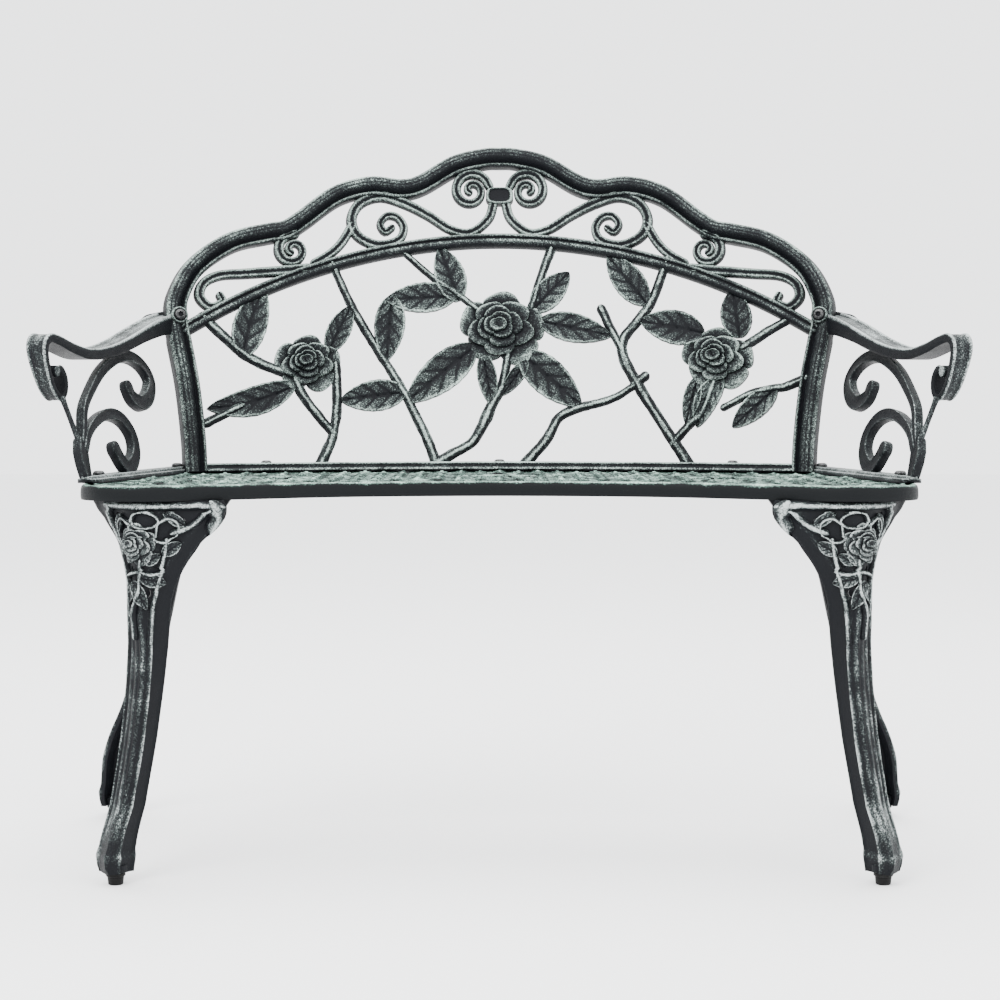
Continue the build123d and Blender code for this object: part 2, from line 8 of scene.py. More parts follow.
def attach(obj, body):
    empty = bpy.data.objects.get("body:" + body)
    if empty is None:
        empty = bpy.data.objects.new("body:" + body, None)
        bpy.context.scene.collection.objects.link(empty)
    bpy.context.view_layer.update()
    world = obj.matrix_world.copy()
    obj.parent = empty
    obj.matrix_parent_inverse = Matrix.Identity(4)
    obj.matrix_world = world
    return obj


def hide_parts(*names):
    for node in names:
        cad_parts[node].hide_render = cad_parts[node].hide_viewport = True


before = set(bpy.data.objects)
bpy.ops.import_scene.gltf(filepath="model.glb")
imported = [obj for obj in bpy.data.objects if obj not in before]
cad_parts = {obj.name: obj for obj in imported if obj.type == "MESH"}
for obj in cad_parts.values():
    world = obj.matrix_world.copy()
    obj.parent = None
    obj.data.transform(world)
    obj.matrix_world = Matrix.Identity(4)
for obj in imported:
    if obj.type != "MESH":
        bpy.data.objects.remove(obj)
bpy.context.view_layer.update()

# Lengths are in millimetres until a piece is built; X is along the bench, -Y the front.
# PLAN_SHIFT centres the bench front to back on the origin.
PLAN_SHIFT = 2.65
UP = Vector((0, 0, 1))
SEAT_TOP = 421.5
BACK_RADIUS = 1030.0
BACK_Y = 147.0
RECLINE = math.radians(12.0)


# --- paths ---
def catmull(a, b, c, d, t):
    """Point between b and c on a smooth curve through four points."""
    return 0.5 * (2 * b + (c - a) * t + (2 * a - 5 * b + 4 * c - d) * t * t
                  + (3 * b - a - 3 * c + d) * t ** 3)


def run_lengths(line):
    """Length from the start of a line to each of its points."""
    lengths = [0.0]
    for a, b in zip(line, line[1:]):
        lengths.append(lengths[-1] + (b - a).length)
    return lengths


def even_steps(line, count):
    """The same line with a fixed number of equal steps."""
    lengths = run_lengths(line)
    result = []
    j = 0
    for i in range(count + 1):
        target = lengths[-1] * i / count
        while j < len(line) - 2 and lengths[j + 1] < target:
            j += 1
        share = (target - lengths[j]) / max(lengths[j + 1] - lengths[j], 1e-9)
        result.append(line[j].lerp(line[j + 1], share))
    return result


def smooth_path(points, spacing, closed=False):
    """Evenly spaced points along a smooth curve through the given ones."""
    knots = [Vector(p) for p in points]
    if closed:
        knots = [knots[-1]] + knots + [knots[0], knots[1]]
    else:
        knots = [2 * knots[0] - knots[1]] + knots + [2 * knots[-1] - knots[-2]]
    fine = []
    for i in range(len(knots) - 3):
        for step in range(16):
            fine.append(catmull(*knots[i:i + 4], step / 16))
    fine.append(knots[-2].copy())
    result = even_steps(fine, max(3, round(run_lengths(fine)[-1] / spacing)))
    return result[:-1] if closed else result


def normals_of(path, closed=False):
    """Left-hand unit normal at each point of a flat path."""
    result = []
    last = len(path) - 1
    for i in range(len(path)):
        before = path[i - 1] if (i > 0 or closed) else path[0]
        after = path[(i + 1) % len(path)] if (i < last or closed) else path[last]
        direction = (after - before).normalized()
        result.append(Vector((-direction.y, direction.x)))
    return result


def spiral(centre, first_radius, last_radius, first_angle, turn, grip=1.0, count=14):
    """Points on a spiral, angles in degrees; a grip over 1 keeps it wide for longer."""
    points = []
    for step in range(count + 1):
        t = step / count
        radius = first_radius + (last_radius - first_radius) * t ** grip
        angle = math.radians(first_angle + turn * t)
        points.append((centre[0] + radius * math.cos(angle), centre[1] + radius * math.sin(angle)))
    return points


def angles(count, start=0.0):
    """Angles evenly all the way round, the first one start steps from zero."""
    return [math.tau * (i + start) / count for i in range(count)]


def mirrored(points):
    return [(-x, z) for x, z in points]


def between(values, t):
    """Straight-line value at the fraction t of an evenly spaced list."""
    place = min(max(t, 0.0), 1.0) * (len(values) - 1)
    index = min(int(place), len(values) - 2)
    return values[index] + (values[index + 1] - values[index]) * (place - index)


def bell(x, width):
    return math.exp(-(x / width) ** 2)


# --- places: flat drawing to space ---
def on_back(x, z, depth):
    """A point of the reclined, curved back; negative depth is towards the sitter."""
    reach = math.sqrt(BACK_RADIUS ** 2 - x ** 2)
    y = BACK_Y - BACK_RADIUS + reach + (z - SEAT_TOP) * math.tan(RECLINE) + PLAN_SHIFT
    outward = Vector((x / BACK_RADIUS, reach / BACK_RADIUS,
                      -reach / BACK_RADIUS * math.tan(RECLINE))).normalized()
    return Vector((x, y, z)) + outward * depth


def on_seat(x, y, depth):
    return Vector((x, y + PLAN_SHIFT, SEAT_TOP - depth))


ARM_BASE = Vector((-434, -150 + PLAN_SHIFT, SEAT_TOP))
ARM_ALONG = Vector((0.222, 0.975, 0)).normalized()
ARM_LEAN = math.radians(16.0)
ARM_OUT = Vector((-ARM_ALONG.y, ARM_ALONG.x, 0))
ARM_UP = ARM_OUT * math.sin(ARM_LEAN) + Vector((0, 0, math.cos(ARM_LEAN)))
ARM_SIDE = ARM_ALONG.cross(ARM_UP)
RAIL_BASE = Vector((-479, -150 + PLAN_SHIFT, SEAT_TOP))
RAIL_ALONG = Vector((0.292, 0.956, 0)).normalized()
RAIL_SIDE = Vector((RAIL_ALONG.y, -RAIL_ALONG.x, 0))


def on_arm(s, t, depth):
    """The leaning panel under an arm: s runs backwards, t upwards."""
    return ARM_BASE + ARM_ALONG * s + ARM_UP * t + ARM_SIDE * depth


def on_rail(s, t, depth):
    return RAIL_BASE + RAIL_ALONG * s + Vector((0, 0, t)) + RAIL_SIDE * depth


# --- piece builder ---
class Piece:
    """One cast piece: loops of points joined into closed skins, each point with its wear."""

    def __init__(self, name):
        self.name = name
        self.points = []
        self.faces = []
        self.wear = []

    def loop(self, points, wear):
        first = len(self.points)
        self.points += points
        self.wear += wear if isinstance(wear, list) else [wear] * len(points)
        return list(range(first, first + len(points)))

    def bridge(self, a, b):
        count = len(a)
        for i in range(count):
            j = (i + 1) % count
            self.faces.append((a[i], a[j], b[j], b[i]))

    def close(self, loop):
        total = Vector((0, 0, 0))
        for i in loop:
            total += self.points[i]
        centre = self.loop([total / len(loop)], sum(self.wear[i] for i in loop) / len(loop))[0]
        for i in range(len(loop)):
            self.faces.append((loop[i], loop[(i + 1) % len(loop)], centre))

    def skin(self, rings, wears, joined=False):
        """Closed skin over a row of rings; joined runs the last back to the first."""
        loops = [self.loop(ring, wear) for ring, wear in zip(rings, wears)]
        for a, b in zip(loops, loops[1:]):
            self.bridge(a, b)
        if joined:
            self.bridge(loops[-1], loops[0])
        else:
            self.close(loops[0])
            self.close(loops[-1])

    def build(self, material, node, slot, flip=False):
        """Make the object; flip gives the same piece on the other side of the bench."""
        sign = -1 if flip else 1
        verts = [(sign * p.x / 1000, p.y / 1000, p.z / 1000) for p in self.points]
        faces = [tuple(reversed(face)) for face in self.faces] if flip else self.faces
        obj = worn_object(self.name, verts, faces, self.wear)
        obj.data.materials.append(material)
        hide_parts(node)
        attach(obj, "root")

    def build_pair(self, material, node, slot, kind="casting"):
        """Make the left piece and its mirror image on the right."""
        for side in ("left", "right"):
            self.name = f"{node}_{side}_{kind}"
            self.build(material, f"{node}_{side}", slot, flip=side == "right")


def worn_object(name, verts, faces, wear):
    """Object from points in metres, with the wear stored on its points."""
    mesh = bpy.data.meshes.new(name)
    mesh.from_pydata(verts, [], faces)
    attribute = mesh.attributes.new("wear", "FLOAT", "POINT")
    attribute.data.foreach_set("value", wear)
    obj = bpy.data.objects.new(name, mesh)
    bpy.context.scene.collection.objects.link(obj)
    tidy_normals(mesh)
    return obj


def tidy_normals(mesh):
    """Outward normals, smooth faces and sharp edges where the surface turns sharply."""
    work = bmesh.new()
    work.from_mesh(mesh)
    bmesh.ops.recalc_face_normals(work, faces=work.faces)
    for face in work.faces:
        face.smooth = True
    for edge in work.edges:
        if len(edge.link_faces) == 2 and edge.calc_face_angle(0) > math.radians(48):
            edge.smooth = False
    work.to_mesh(mesh)
    work.free()


def sweep(piece, points, widths, profile, place, spacing=4.0, rough=0.0, seed=0.0,
          depths=(1.0, 1.0)):
    """Bar along a flat path with rounded ends. The profile is (across, depth, wear)."""
    path = smooth_path(points, spacing)
    sides = normals_of(path)
    middle = sum(depth for across, depth, wear in profile) / len(profile)
    stations = []

    def round_end(end, inner, half, t, turns):
        outward = (path[end] - path[inner]).normalized()
        for turn in turns:
            reach = outward * half * math.sin(math.radians(turn))
            stations.append((path[end] + reach, sides[end], half, math.cos(math.radians(turn)), t))

    round_end(0, 1, widths[0] / 2, 0.0, (82, 60, 38, 18))
    for i, point in enumerate(path):
        t = i / (len(path) - 1)
        stations.append((point, sides[i], between(widths, t) / 2, 1.0, t))
    round_end(-1, -2, widths[-1] / 2, 1.0, (18, 38, 60, 82))
    rings = []
    wears = []
    for row, (point, side, half, squeeze, t) in enumerate(stations):
        ring = []
        wear_row = []
        for column, (across, depth, wear) in enumerate(profile):
            swell = 1.0
            if rough:
                where = Vector((row * 0.16 + seed, column * 0.9, seed * 3.1))
                grain = noise.noise(where) + 0.6 * noise.noise(where * 3.1)
                swell += rough * grain
                wear = wear + grain * 0.35
            spot = point + side * across * half * squeeze * swell
            level = middle + (depth - middle) * math.sqrt(squeeze) * swell
            ring.append(place(spot.x, spot.y, level * between(depths, t)))
            wear_row.append(wear)
        rings.append(ring)
        wears.append(wear_row)
    piece.skin(rings, wears)


def round_profile(half_depth, count=22, ribs=5):
    """Round bar with lengthwise ribs, their crests rubbed bright towards the front."""
    profile = []
    for angle in angles(count):
        front = math.cos(angle)
        rib = 0.5 + 0.5 * math.cos(ribs * angle)
        reach = 0.90 + 0.10 * rib
        wear = 0.18 + 0.22 * front + 0.50 * rib * max(0.0, front + 0.3)
        profile.append((math.sin(angle) * reach, -half_depth * front * reach, wear))
    return profile


def both_sides(half, middle=()):
    """Profile points with the middle ones and then their mirror image across."""
    return half + list(middle) + [(-across, depth, wear) for across, depth, wear in reversed(half)]


def petal_height(rho, theta, lobes, offset, rise):
    """Height above its root of a cupped petal with a rolled rim and fine radial creases."""
    swing = abs(math.cos(lobes * (theta - offset) / 2))
    cup = rise * rho ** 2.6
    crease = -0.28 * rise * (1 - swing) ** 3
    roll = -0.55 * rise * max(0.0, (rho - 0.88) / 0.12) ** 2
    veins = 0.05 * rise * math.sin(26 * theta) * rho
    overlap = 0.42 * rise * ((lobes * (theta - offset) / math.tau + 0.5) % 1.0 - 0.5) * rho
    return cup + crease + roll + veins + overlap


PETAL_LAYERS = [
    # outer edge, lobes, turn, root height, rise of the rim
    (0.20, 2, 0.3, 0.78, 0.22),
    (0.36, 3, 1.1, 0.60, 0.30),
    (0.54, 4, 0.2, 0.42, 0.30),
    (0.76, 5, 0.9, 0.24, 0.28),
    (1.00, 5, 0.26, 0.02, 0.27),
]


def rose(piece, centre, half_width, half_height, tall, place, root=5.0, sectors=120):
    """Relief rose: five layers of overlapping petals round a tight bud."""
    rings = []
    wears = []
    inner = [0.004] * sectors
    for edge, lobes, turn, base, rise in PETAL_LAYERS:
        outer = []
        for theta in angles(sectors):
            swing = abs(math.cos(lobes * (theta - turn) / 2))
            wobble = 0.05 * math.sin(2 * theta + edge * 9) + 0.03 * math.sin(7 * theta + edge * 4)
            outer.append(edge * (0.76 + 0.24 * swing ** 0.6 + wobble * edge))
        for step in range(9):
            share = step / 8
            ring = []
            wear_row = []
            for i, theta in enumerate(angles(sectors)):
                reach = inner[i] + (outer[i] - inner[i]) * share
                height = base + petal_height(reach / outer[i], theta, lobes, turn, rise)
                drift = 0.13 * (1 - reach)
                x = centre[0] + half_width * (reach * math.cos(theta) - drift)
                z = centre[1] + half_height * (reach * math.sin(theta) + drift * 0.6)
                ring.append(place(x, z, root - 5.0 - tall * height))
                wear_row.append(0.30 + 0.66 * share ** 1.3)
            rings.append(ring)
            wears.append(wear_row)
        inner = outer
    for level, scale in ((root - 1.5, 1.0), (root, 0.94)):
        ring = []
        for i, theta in enumerate(angles(sectors)):
            x = centre[0] + half_width * inner[i] * scale * math.cos(theta)
            z = centre[1] + half_height * inner[i] * scale * math.sin(theta)
            ring.append(place(x, z, level))
        rings.append(ring)
        wears.append(0.25)
    piece.skin(rings, wears)


LEAF_FULLNESS = 1.16


def leaf(piece, base, tip, width, bend, place, thick=3.4, seed=0.0):
    """Cast leaf: toothed outline, raised edge, midrib and slanting veins."""
    start = Vector(base)
    along = Vector(tip) - start
    side = Vector((-along.y, along.x)).normalized()
    rows = 56
    columns = 22
    rings = []
    wears = []
    for row in range(rows + 1):
        t = row / rows
        lobe = math.sin(math.pi * min(1.0, 0.03 + 0.97 * t ** 0.86)) ** 0.66
        tooth = 1 + 0.03 * (abs(((t * 7.5 + seed) % 1.0) - 0.5) * 2 - 0.5)
        half = max(0.4, LEAF_FULLNESS * width / 2 * lobe * tooth)
        middle = start + along * t + side * bend * math.sin(math.pi * t)
        ring = []
        wear_row = []
        for column in range(columns + 1):
            u = column / columns * 2 - 1
            rib = bell(u, 0.09) * (1.5 - 0.9 * t)
            vein_phase = ((t - 0.26 * abs(u)) * 4.6 + 0.5) % 1.0 - 0.5
            vein = bell(vein_phase, 0.11) * (1 - 0.6 * abs(u)) * min(1.0, 6 * t)
            rim = bell(abs(u) - 0.92, 0.07) * 1.1
            cup = 2.2 * u * u * lobe
            lift = thick - rib - vein + rim + cup
            spot = middle + side * half * u
            ring.append(place(spot.x, spot.y, -lift))
            glow = 0.66 - 0.16 * (1 - abs(u)) - 0.55 * (rib + vein) + 0.36 * rim
            wear_row.append(min(1.0, max(0.0, glow)))
        for u, level in ((0.97, 1.6), (0.5, 2.6), (-0.5, 2.6), (-0.97, 1.6)):
            spot = middle + side * half * u
            ring.append(place(spot.x, spot.y, level))
            wear_row.append(0.3)
        rings.append(ring)
        wears.append(wear_row)
    piece.skin(rings, wears)


# --- materials ---
# Shares of what lightens the paint: wear, fine speckle, broad clouds, and painted light from above,
# which lightens upward faces and darkens downward ones.
WEAR_SHARE = 0.74
SPECKLE_SHARE = 1.75
BROAD_SHARE = 0.30
PAINTED_TOP_LIGHT_SHARE = 0.16


def patina_and_top_light(name, dark, middle, light, bias, metal, streaks=0.62):
    """Antique paint rubbed through on raised edges, speckled like sand-cast metal, with painted light
    from above: upward faces lighter, downward faces darker.

    A higher bias is more rubbed, metal is how metallic the barest spots look, and streaks
    is the share of the patches.
    """
    material = bpy.data.materials.new(name)
    material.use_nodes = True
    tree = material.node_tree
    nodes = tree.nodes
    nodes.clear()
    link = tree.links.new
    out = nodes.new("ShaderNodeOutputMaterial")
    shader = nodes.new("ShaderNodeBsdfPrincipled")
    link(shader.outputs["BSDF"], out.inputs["Surface"])
    coords = nodes.new("ShaderNodeTexCoord")
    wear = nodes.new("ShaderNodeAttribute")
    wear.attribute_name = "wear"

    def grain(scale, detail, rough):
        texture = nodes.new("ShaderNodeTexNoise")
        texture.inputs["Scale"].default_value = scale
        texture.inputs["Detail"].default_value = detail
        texture.inputs["Roughness"].default_value = rough
        link(coords.outputs["Object"], texture.inputs["Vector"])
        return texture.outputs["Fac"]

    def mix_in(base, value, amount):
        add = nodes.new("ShaderNodeMath")
        add.operation = "MULTIPLY_ADD"
        link(value, add.inputs[0])
        add.inputs[1].default_value = amount
        link(base, add.inputs[2])
        return add.outputs[0]

    def span(value, source, target):
        """The value with one range stretched to another."""
        node = nodes.new("ShaderNodeMapRange")
        names = ("From Min", "From Max", "To Min", "To Max")
        for name, number in zip(names, source + target):
            node.inputs[name].default_value = number
        link(value, node.inputs["Value"])
        return node.outputs["Result"]

    speckle = grain(620, 4, 0.75)
    patches = grain(38, 5, 0.6)
    broad = grain(7, 2, 0.5)
    separate = nodes.new("ShaderNodeSeparateXYZ")
    geometry = nodes.new("ShaderNodeNewGeometry")
    link(geometry.outputs["Normal"], separate.inputs[0])
    # Takes off about what the noises add on average, so that bias alone moves the result.
    base_level = nodes.new("ShaderNodeValue")
    base_level.outputs[0].default_value = bias - 0.99 - streaks / 2
    total = mix_in(base_level.outputs[0], wear.outputs["Fac"], WEAR_SHARE)
    total = mix_in(total, speckle, SPECKLE_SHARE)
    total = mix_in(total, patches, streaks)
    total = mix_in(total, broad, BROAD_SHARE)
    # Painted light from above: the height of the surface normal makes upward faces lighter and
    # undersides darker, in colour and metalness alike.
    total = mix_in(total, separate.outputs["Z"], PAINTED_TOP_LIGHT_SHARE)

    ramp = nodes.new("ShaderNodeValToRGB")
    stops = ramp.color_ramp.elements
    stops[0].position = 0.36
    stops[0].color = (*dark, 1)
    stops[1].position = 0.86
    stops[1].color = (*light, 1)
    stops.new(0.60).color = (*middle, 1)
    link(total, ramp.inputs["Fac"])
    link(ramp.outputs["Color"], shader.inputs["Base Color"])

    link(span(total, (0.40, 0.90), (0.0, metal)), shader.inputs["Metallic"])
    link(span(patches, (0.0, 1.0), (0.36, 0.62)), shader.inputs["Roughness"])
    shader.inputs["Specular IOR Level"].default_value = 0.07

    bump = nodes.new("ShaderNodeBump")
    bump.inputs["Strength"].default_value = 0.7
    bump.inputs["Distance"].default_value = 0.0006
    link(speckle, bump.inputs["Height"])
    link(bump.outputs["Normal"], shader.inputs["Normal"])
    return material


CHARCOAL = (0.0045, 0.0050, 0.0062)
SLATE = (0.036, 0.044, 0.043)
MINT = (0.34, 0.42, 0.385)
SILVER = (0.36, 0.395, 0.39)
back_patina = patina_and_top_light("back_patina", CHARCOAL, SLATE, MINT, -0.04, 0.6)
arm_patina = patina_and_top_light("arm_patina", CHARCOAL, SLATE, SILVER, -0.04, 0.65)
seat_patina = patina_and_top_light(
    "seat_patina", (0.0035, 0.0042, 0.0048), (0.07, 0.12, 0.10), (0.36, 0.50, 0.43), -0.20, 0.3, 1.5)
leg_patina = patina_and_top_light("leg_patina", CHARCOAL, SLATE, SILVER, 0.04, 0.6)
hardware = patina_and_top_light("hardware", CHARCOAL, (0.02, 0.021, 0.022), (0.12, 0.12, 0.12), -0.05, 0.8)
foot_plastic = patina_and_top_light(
    "foot_plastic", (0.006, 0.006, 0.006), (0.010, 0.010, 0.010), (0.03, 0.03, 0.03), -0.1, 0.0)

# --- back: hoop and posts ---
POST_LINE = [(-360, 421.5), (-363, 463), (-371, 525), (-382, 580), (-386, 604)]
HOOP_HALF = [
    (-385, 630), (-366, 667), (-326, 697), (-283, 709), (-262, 713),
    (-242, 726), (-201, 757), (-160, 769), (-122, 766), (-97, 772), (-56, 796),
    (-20, 805),
]
HOOP_CROWN = (0, 806)
HOOP_WIDTH = 24.5
POST_WIDTH = 26.0
POST_NARROWS = 580
POST_TOP = 604
# Place of the bolts that join the arms to the hoop.
JOINT_X = 385
JOINT_Z = 606
# Outer round band, groove, then a thin inner bead. Across 1 is the outer edge.
HOOP_PROFILE = [
    (1.0, 9, .1), (1.0, 0, .25), (0.98, -5, .45), (0.92, -8.6, .8), (0.80, -11.0, .75),
    (0.66, -12.2, .5), (0.58, -12.3, .35), (0.50, -13.0, .65), (0.34, -13.2, .6), (0.26, -12.7, .3),
    (0.16, -13.0, .6), (0.0, -12.2, .5), (-0.14, -10.8, .4), (-0.28, -8.4, .35), (-0.40, -5.8, .1),
    (-0.47, -4.8, .0), (-0.55, -5.4, .05), (-0.63, -8.0, .5), (-0.74, -9.6, .9), (-0.86, -9.0, .8),
    (-0.97, -5.6, .3), (-1.0, 0, .15), (-1.0, 8, .1), (-0.85, 10.6, .1), (-0.4, 9.2, .05),
    (0, 8.4, .0), (0.4, 9.2, .05), (0.85, 10.6, .1),
]


def hoop_pieces():
    """The hoop and its two posts share one line, cut where the castings meet."""
    line = POST_LINE + HOOP_HALF + [HOOP_CROWN]
    line = line + list(reversed(mirrored(line[:-1])))
    path = smooth_path(line, 5.0)
    sides = normals_of(path)
    rings = []
    wears = []
    for i, point in enumerate(path):
        width = POST_WIDTH if point.y < POST_NARROWS else HOOP_WIDTH
        ring = []
        wear_row = []
        for across, depth, wear in HOOP_PROFILE:
            spot = point + sides[i] * across * width / 2
            ring.append(on_back(spot.x, max(spot.y, SEAT_TOP), depth))
            wear_row.append(wear)
        rings.append(ring)
        wears.append(wear_row)
    left = max(i for i in range(len(path) // 2) if path[i].y < POST_TOP)
    right = len(path) - 1 - left
    for name, low, high in (("back_post_left", 0, left), ("back_hoop", left, right),
                            ("back_post_right", right, len(path) - 1)):
        piece = Piece(name + "_casting")
        piece.skin(rings[low:high + 1], wears[low:high + 1])
        if name == "back_hoop":
            for sign in (-1, 1):
                add_boss(piece, sign)
        piece.build(back_patina, name, "back_patina")


def spokes(forward, sectors):
    """Unit vectors evenly round an axis, each with its angle."""
    across = forward.orthogonal().normalized()
    other = forward.cross(across)
    return [(across * math.cos(angle) + other * math.sin(angle), angle) for angle in angles(sectors)]


def revolve(piece, centre, axis, outline, sectors=28):
    """Turned shape: the outline is (radius, height along the axis, wear)."""
    forward = axis.normalized()
    rings = []
    for radius, height, wear in outline:
        rings.append([centre + forward * height + spoke * radius
                      for spoke, angle in spokes(forward, sectors)])
    piece.skin(rings, [wear for radius, height, wear in outline])


def back_normal(x, z):
    return (on_back(x, z, -1) - on_back(x, z, 0)).normalized()


def add_boss(piece, sign):
    x = JOINT_X * sign
    outline = [(9.0, 6, .3), (10.0, 8, .4), (10.4, 13, .6), (10.0, 15.5, .8), (8.8, 17, .9),
               (7.4, 16.6, .5), (7.0, 14, .2)]
    revolve(piece, on_back(x, JOINT_Z, 0), back_normal(x, JOINT_Z), outline)


hoop_pieces()

# --- back: arch rail and bottom rail ---
ARCH_PROFILE = [
    (1.0, 6, .1), (1.0, -3, .35), (0.9, -6.8, .75), (0.68, -8.7, .8), (0.46, -8.4, .45),
    (0.34, -6.2, .0), (0.22, -6.2, .0), (0.08, -8.4, .5), (-0.15, -9.0, .7),
    (-0.42, -8.8, .5), (-0.62, -8.0, .45), (-0.86, -5.6, .3), (-1.0, -2.0, .2),
    (-1.0, 6, .1), (-0.7, 8, .1), (0.7, 8, .1),
]
ARCH_CROWN = 703
ARCH_WIDTH = 17


def arch_points():
    """Circle arc between the posts through its crown."""
    half_chord = 374.0
    rise = 110.5
    radius = (half_chord ** 2 + rise ** 2) / (2 * rise)
    limit = math.asin(half_chord / radius)
    points = []
    for step in range(17):
        angle = -limit + 2 * limit * step / 16
        points.append((radius * math.sin(angle), ARCH_CROWN - radius + radius * math.cos(angle)))
    return points


arch = Piece("back_arch_rail_casting")
sweep(arch, arch_points(), [ARCH_WIDTH, ARCH_WIDTH], ARCH_PROFILE, on_back)
arch.build(back_patina, "back_arch_rail", "back_patina")

RAIL_PROFILE = [
    (1.0, 8, .5), (1.04, -6, .8), (0.95, -9.2, 1.0), (0.6, -10.6, .9), (0.25, -9.6, .4),
    (-0.2, -9.6, .3), (-0.5, -10.8, .8), (-0.85, -10.8, .8), (-1.0, -9.0, .5), (-1.0, 8, .3),
    (-0.7, 10, .3), (0.7, 10, .4),
]
bottom = Piece("back_bottom_rail_casting")
sweep(bottom, [(-346, 426.5), (-180, 426.5), (0, 426.5), (180, 426.5), (346, 426.5)],
      [10, 10], RAIL_PROFILE, on_back, spacing=8)
bottom.build(back_patina, "back_bottom_rail", "back_patina")

# --- back: scrolls ---
SCROLL_PROFILE = both_sides(
    [(1.0, 4, .1), (1.0, -1.5, .3), (0.86, -4.8, .8), (0.56, -6.5, 1.0), (0.26, -5.7, .5)],
    [(0.0, -4.7, .0)]) + [(-0.6, 5.6, .1), (0.6, 5.6, .1)]
STROKES = [
    (spiral((-35, 765), 23, 3, 15, 560, 1.25, 22), [11, 12, 12, 10, 9]),
    ([(-7, 752), (-14, 730), (-36, 713), (-61, 717), (-88, 734), (-118, 749), (-147, 757),
      (-172, 748), (-182, 728), (-174, 708), (-150, 697), (-125, 703), (-118, 718), (-126, 731),
      (-139, 733), (-147, 723), (-141, 713), (-133, 718)], [12, 11, 12, 13, 13, 12, 10, 9]),
    ([(-182, 719), (-194, 699), (-208, 685), (-226, 674)], [12, 11]),
    (spiral((-252, 689), 20, 4, 85, 500, 1.0, 20), [12, 12, 10, 9]),
    ([(-234, 667), (-262, 664), (-307, 660), (-338, 657), (-356, 647), (-360, 631),
      (-348, 619), (-334, 625), (-337, 633)], [13, 13, 12, 12, 9]),
]
scrolls = Piece("back_scrolls")
for points, widths in STROKES:
    sweep(scrolls, points, widths, SCROLL_PROFILE, on_back, spacing=2.4)
scrolls.build_pair(back_patina, "back_scrolls", "back_patina")

# Share of the full size, depth, wear: a raised rim round a flat field.
CLASP_STEPS = [
    (0.97, 8.5, .1), (1.0, 6, .2), (1.0, -5.5, .5), (0.95, -8.2, .95), (0.86, -9.2, 1.0),
    (0.76, -8.4, .6), (0.70, -6.8, .0), (0.30, -6.4, .0),
]
clasp = Piece("scroll_clasp_casting")
clasp_rings = []
for scale, depth, wear in CLASP_STEPS:
    ring = []
    for angle in angles(48):
        reach = (abs(math.cos(angle)) ** 3.4 + abs(math.sin(angle)) ** 3.4) ** (-1 / 3.4) * scale
        ring.append(on_back(17 * reach * math.cos(angle), 758 + 10.5 * reach * math.sin(angle), depth))
    clasp_rings.append(ring)
clasp.skin(clasp_rings, [wear for scale, depth, wear in CLASP_STEPS])
clasp.build(back_patina, "scroll_clasp", "back_patina")

# --- back: roses, stems and leaves ---
ROSES = {
    "rose_left": ((-232, 551), 40, 35),
    "rose_centre": ((4, 594), 53, 46),
    "rose_right": ((264, 557), 43, 38),
}
for name, (centre, half_width, half_height) in ROSES.items():
    piece = Piece(name + "_casting")
    rose(piece, centre, half_width, half_height, 19, on_back)
    piece.build(back_patina, name, "back_patina")

VINES = {
    "vine_left": [
        ([(-356, 607), (-328, 580), (-310, 564), (-290, 552), (-262, 541)], [13, 12, 13]),
        ([(-246, 530), (-240, 516), (-224, 494), (-201, 467)], [13, 12, 11]),
        ([(-199, 548), (-197, 511), (-198, 488), (-202, 462), (-211, 440), (-216, 429)],
         [12, 13, 12, 15]),
        ([(-206, 676), (-180, 620), (-151, 571), (-116, 515), (-87, 457), (-77, 430)],
         [10, 11, 11, 14]),
        ([(-349, 480), (-334, 488), (-310, 500)], [12, 10]),
    ],
    "vine_centre": [
        ([(12, 570), (3, 524), (-10, 500), (-21, 475), (-34, 455), (-57, 442), (-78, 430)],
         [11, 12, 15, 12, 14]),
        ([(-124, 693), (-82, 657), (-51, 636), (-28, 618)], [8, 9, 9]),
        ([(66, 698), (52, 660), (40, 622)], [13, 11, 11]),
    ],
    "vine_right": [
        ([(30, 428), (58, 460), (72, 485), (96, 497), (136, 508), (162, 523)], [14, 12, 9]),
        ([(205, 678), (187, 629), (171, 606), (152, 582), (151, 560), (167, 528), (193, 485),
          (228, 430)], [12, 12, 14, 13, 15]),
        ([(125, 618), (136, 594), (150, 568)], [12, 11]),
        ([(210, 456), (228, 476), (245, 493), (260, 530)], [11, 10]),
        ([(296, 572), (324, 590), (346, 603)], [12, 11]),
        ([(376, 538), (344, 524), (327, 521), (302, 515), (270, 498)], [13, 10, 9]),
        ([(164, 526), (177, 536)], [11, 12]),
    ],
}
for name, stems in VINES.items():
    piece = Piece(name + "_casting")
    for index, (points, widths) in enumerate(stems):
        sweep(piece, points, widths, round_profile(6.4), on_back, spacing=2.6, rough=0.16,
              seed=index * 5.3 + len(name))
    piece.build(back_patina, name, "back_patina")

LEAVES = {
    "leaves_left": [
        ((-309, 560), (-286, 642), 35, 3),
        ((-248, 524), (-349, 497), 31, 6),
        ((-208, 566), (-181, 622), 25, 0),
        ((-115, 516), (-193, 507), 33, 0),
        ((-132, 633), (-138, 554), 33, 0),
        ((-55, 634), (-140, 629), 32, 0),
    ],
    "leaves_centre": [
        ((-30, 572), (-114, 504), 39, 0),
        ((-50, 628), (-74, 694), 33, 0),
        ((40, 616), (86, 663), 30, 0),
        ((50, 603), (137, 585), 31, 0),
        ((26, 564), (100, 499), 39, 0),
        ((-20, 562), (-9, 499), 21, 0),
        ((34, 554), (3, 512), 16, 0),
    ],
    "leaves_right": [
        ((180, 624), (133, 684), 33, 0),
        ((248, 588), (172, 603), 36, 0),
        ((290, 582), (283, 641), 32, 0),
        ((331, 521), (280, 474), 24, 0),
        ((240, 534), (225, 478), 18, 0),
        ((268, 534), (238, 474), 24, -4),
    ],
}
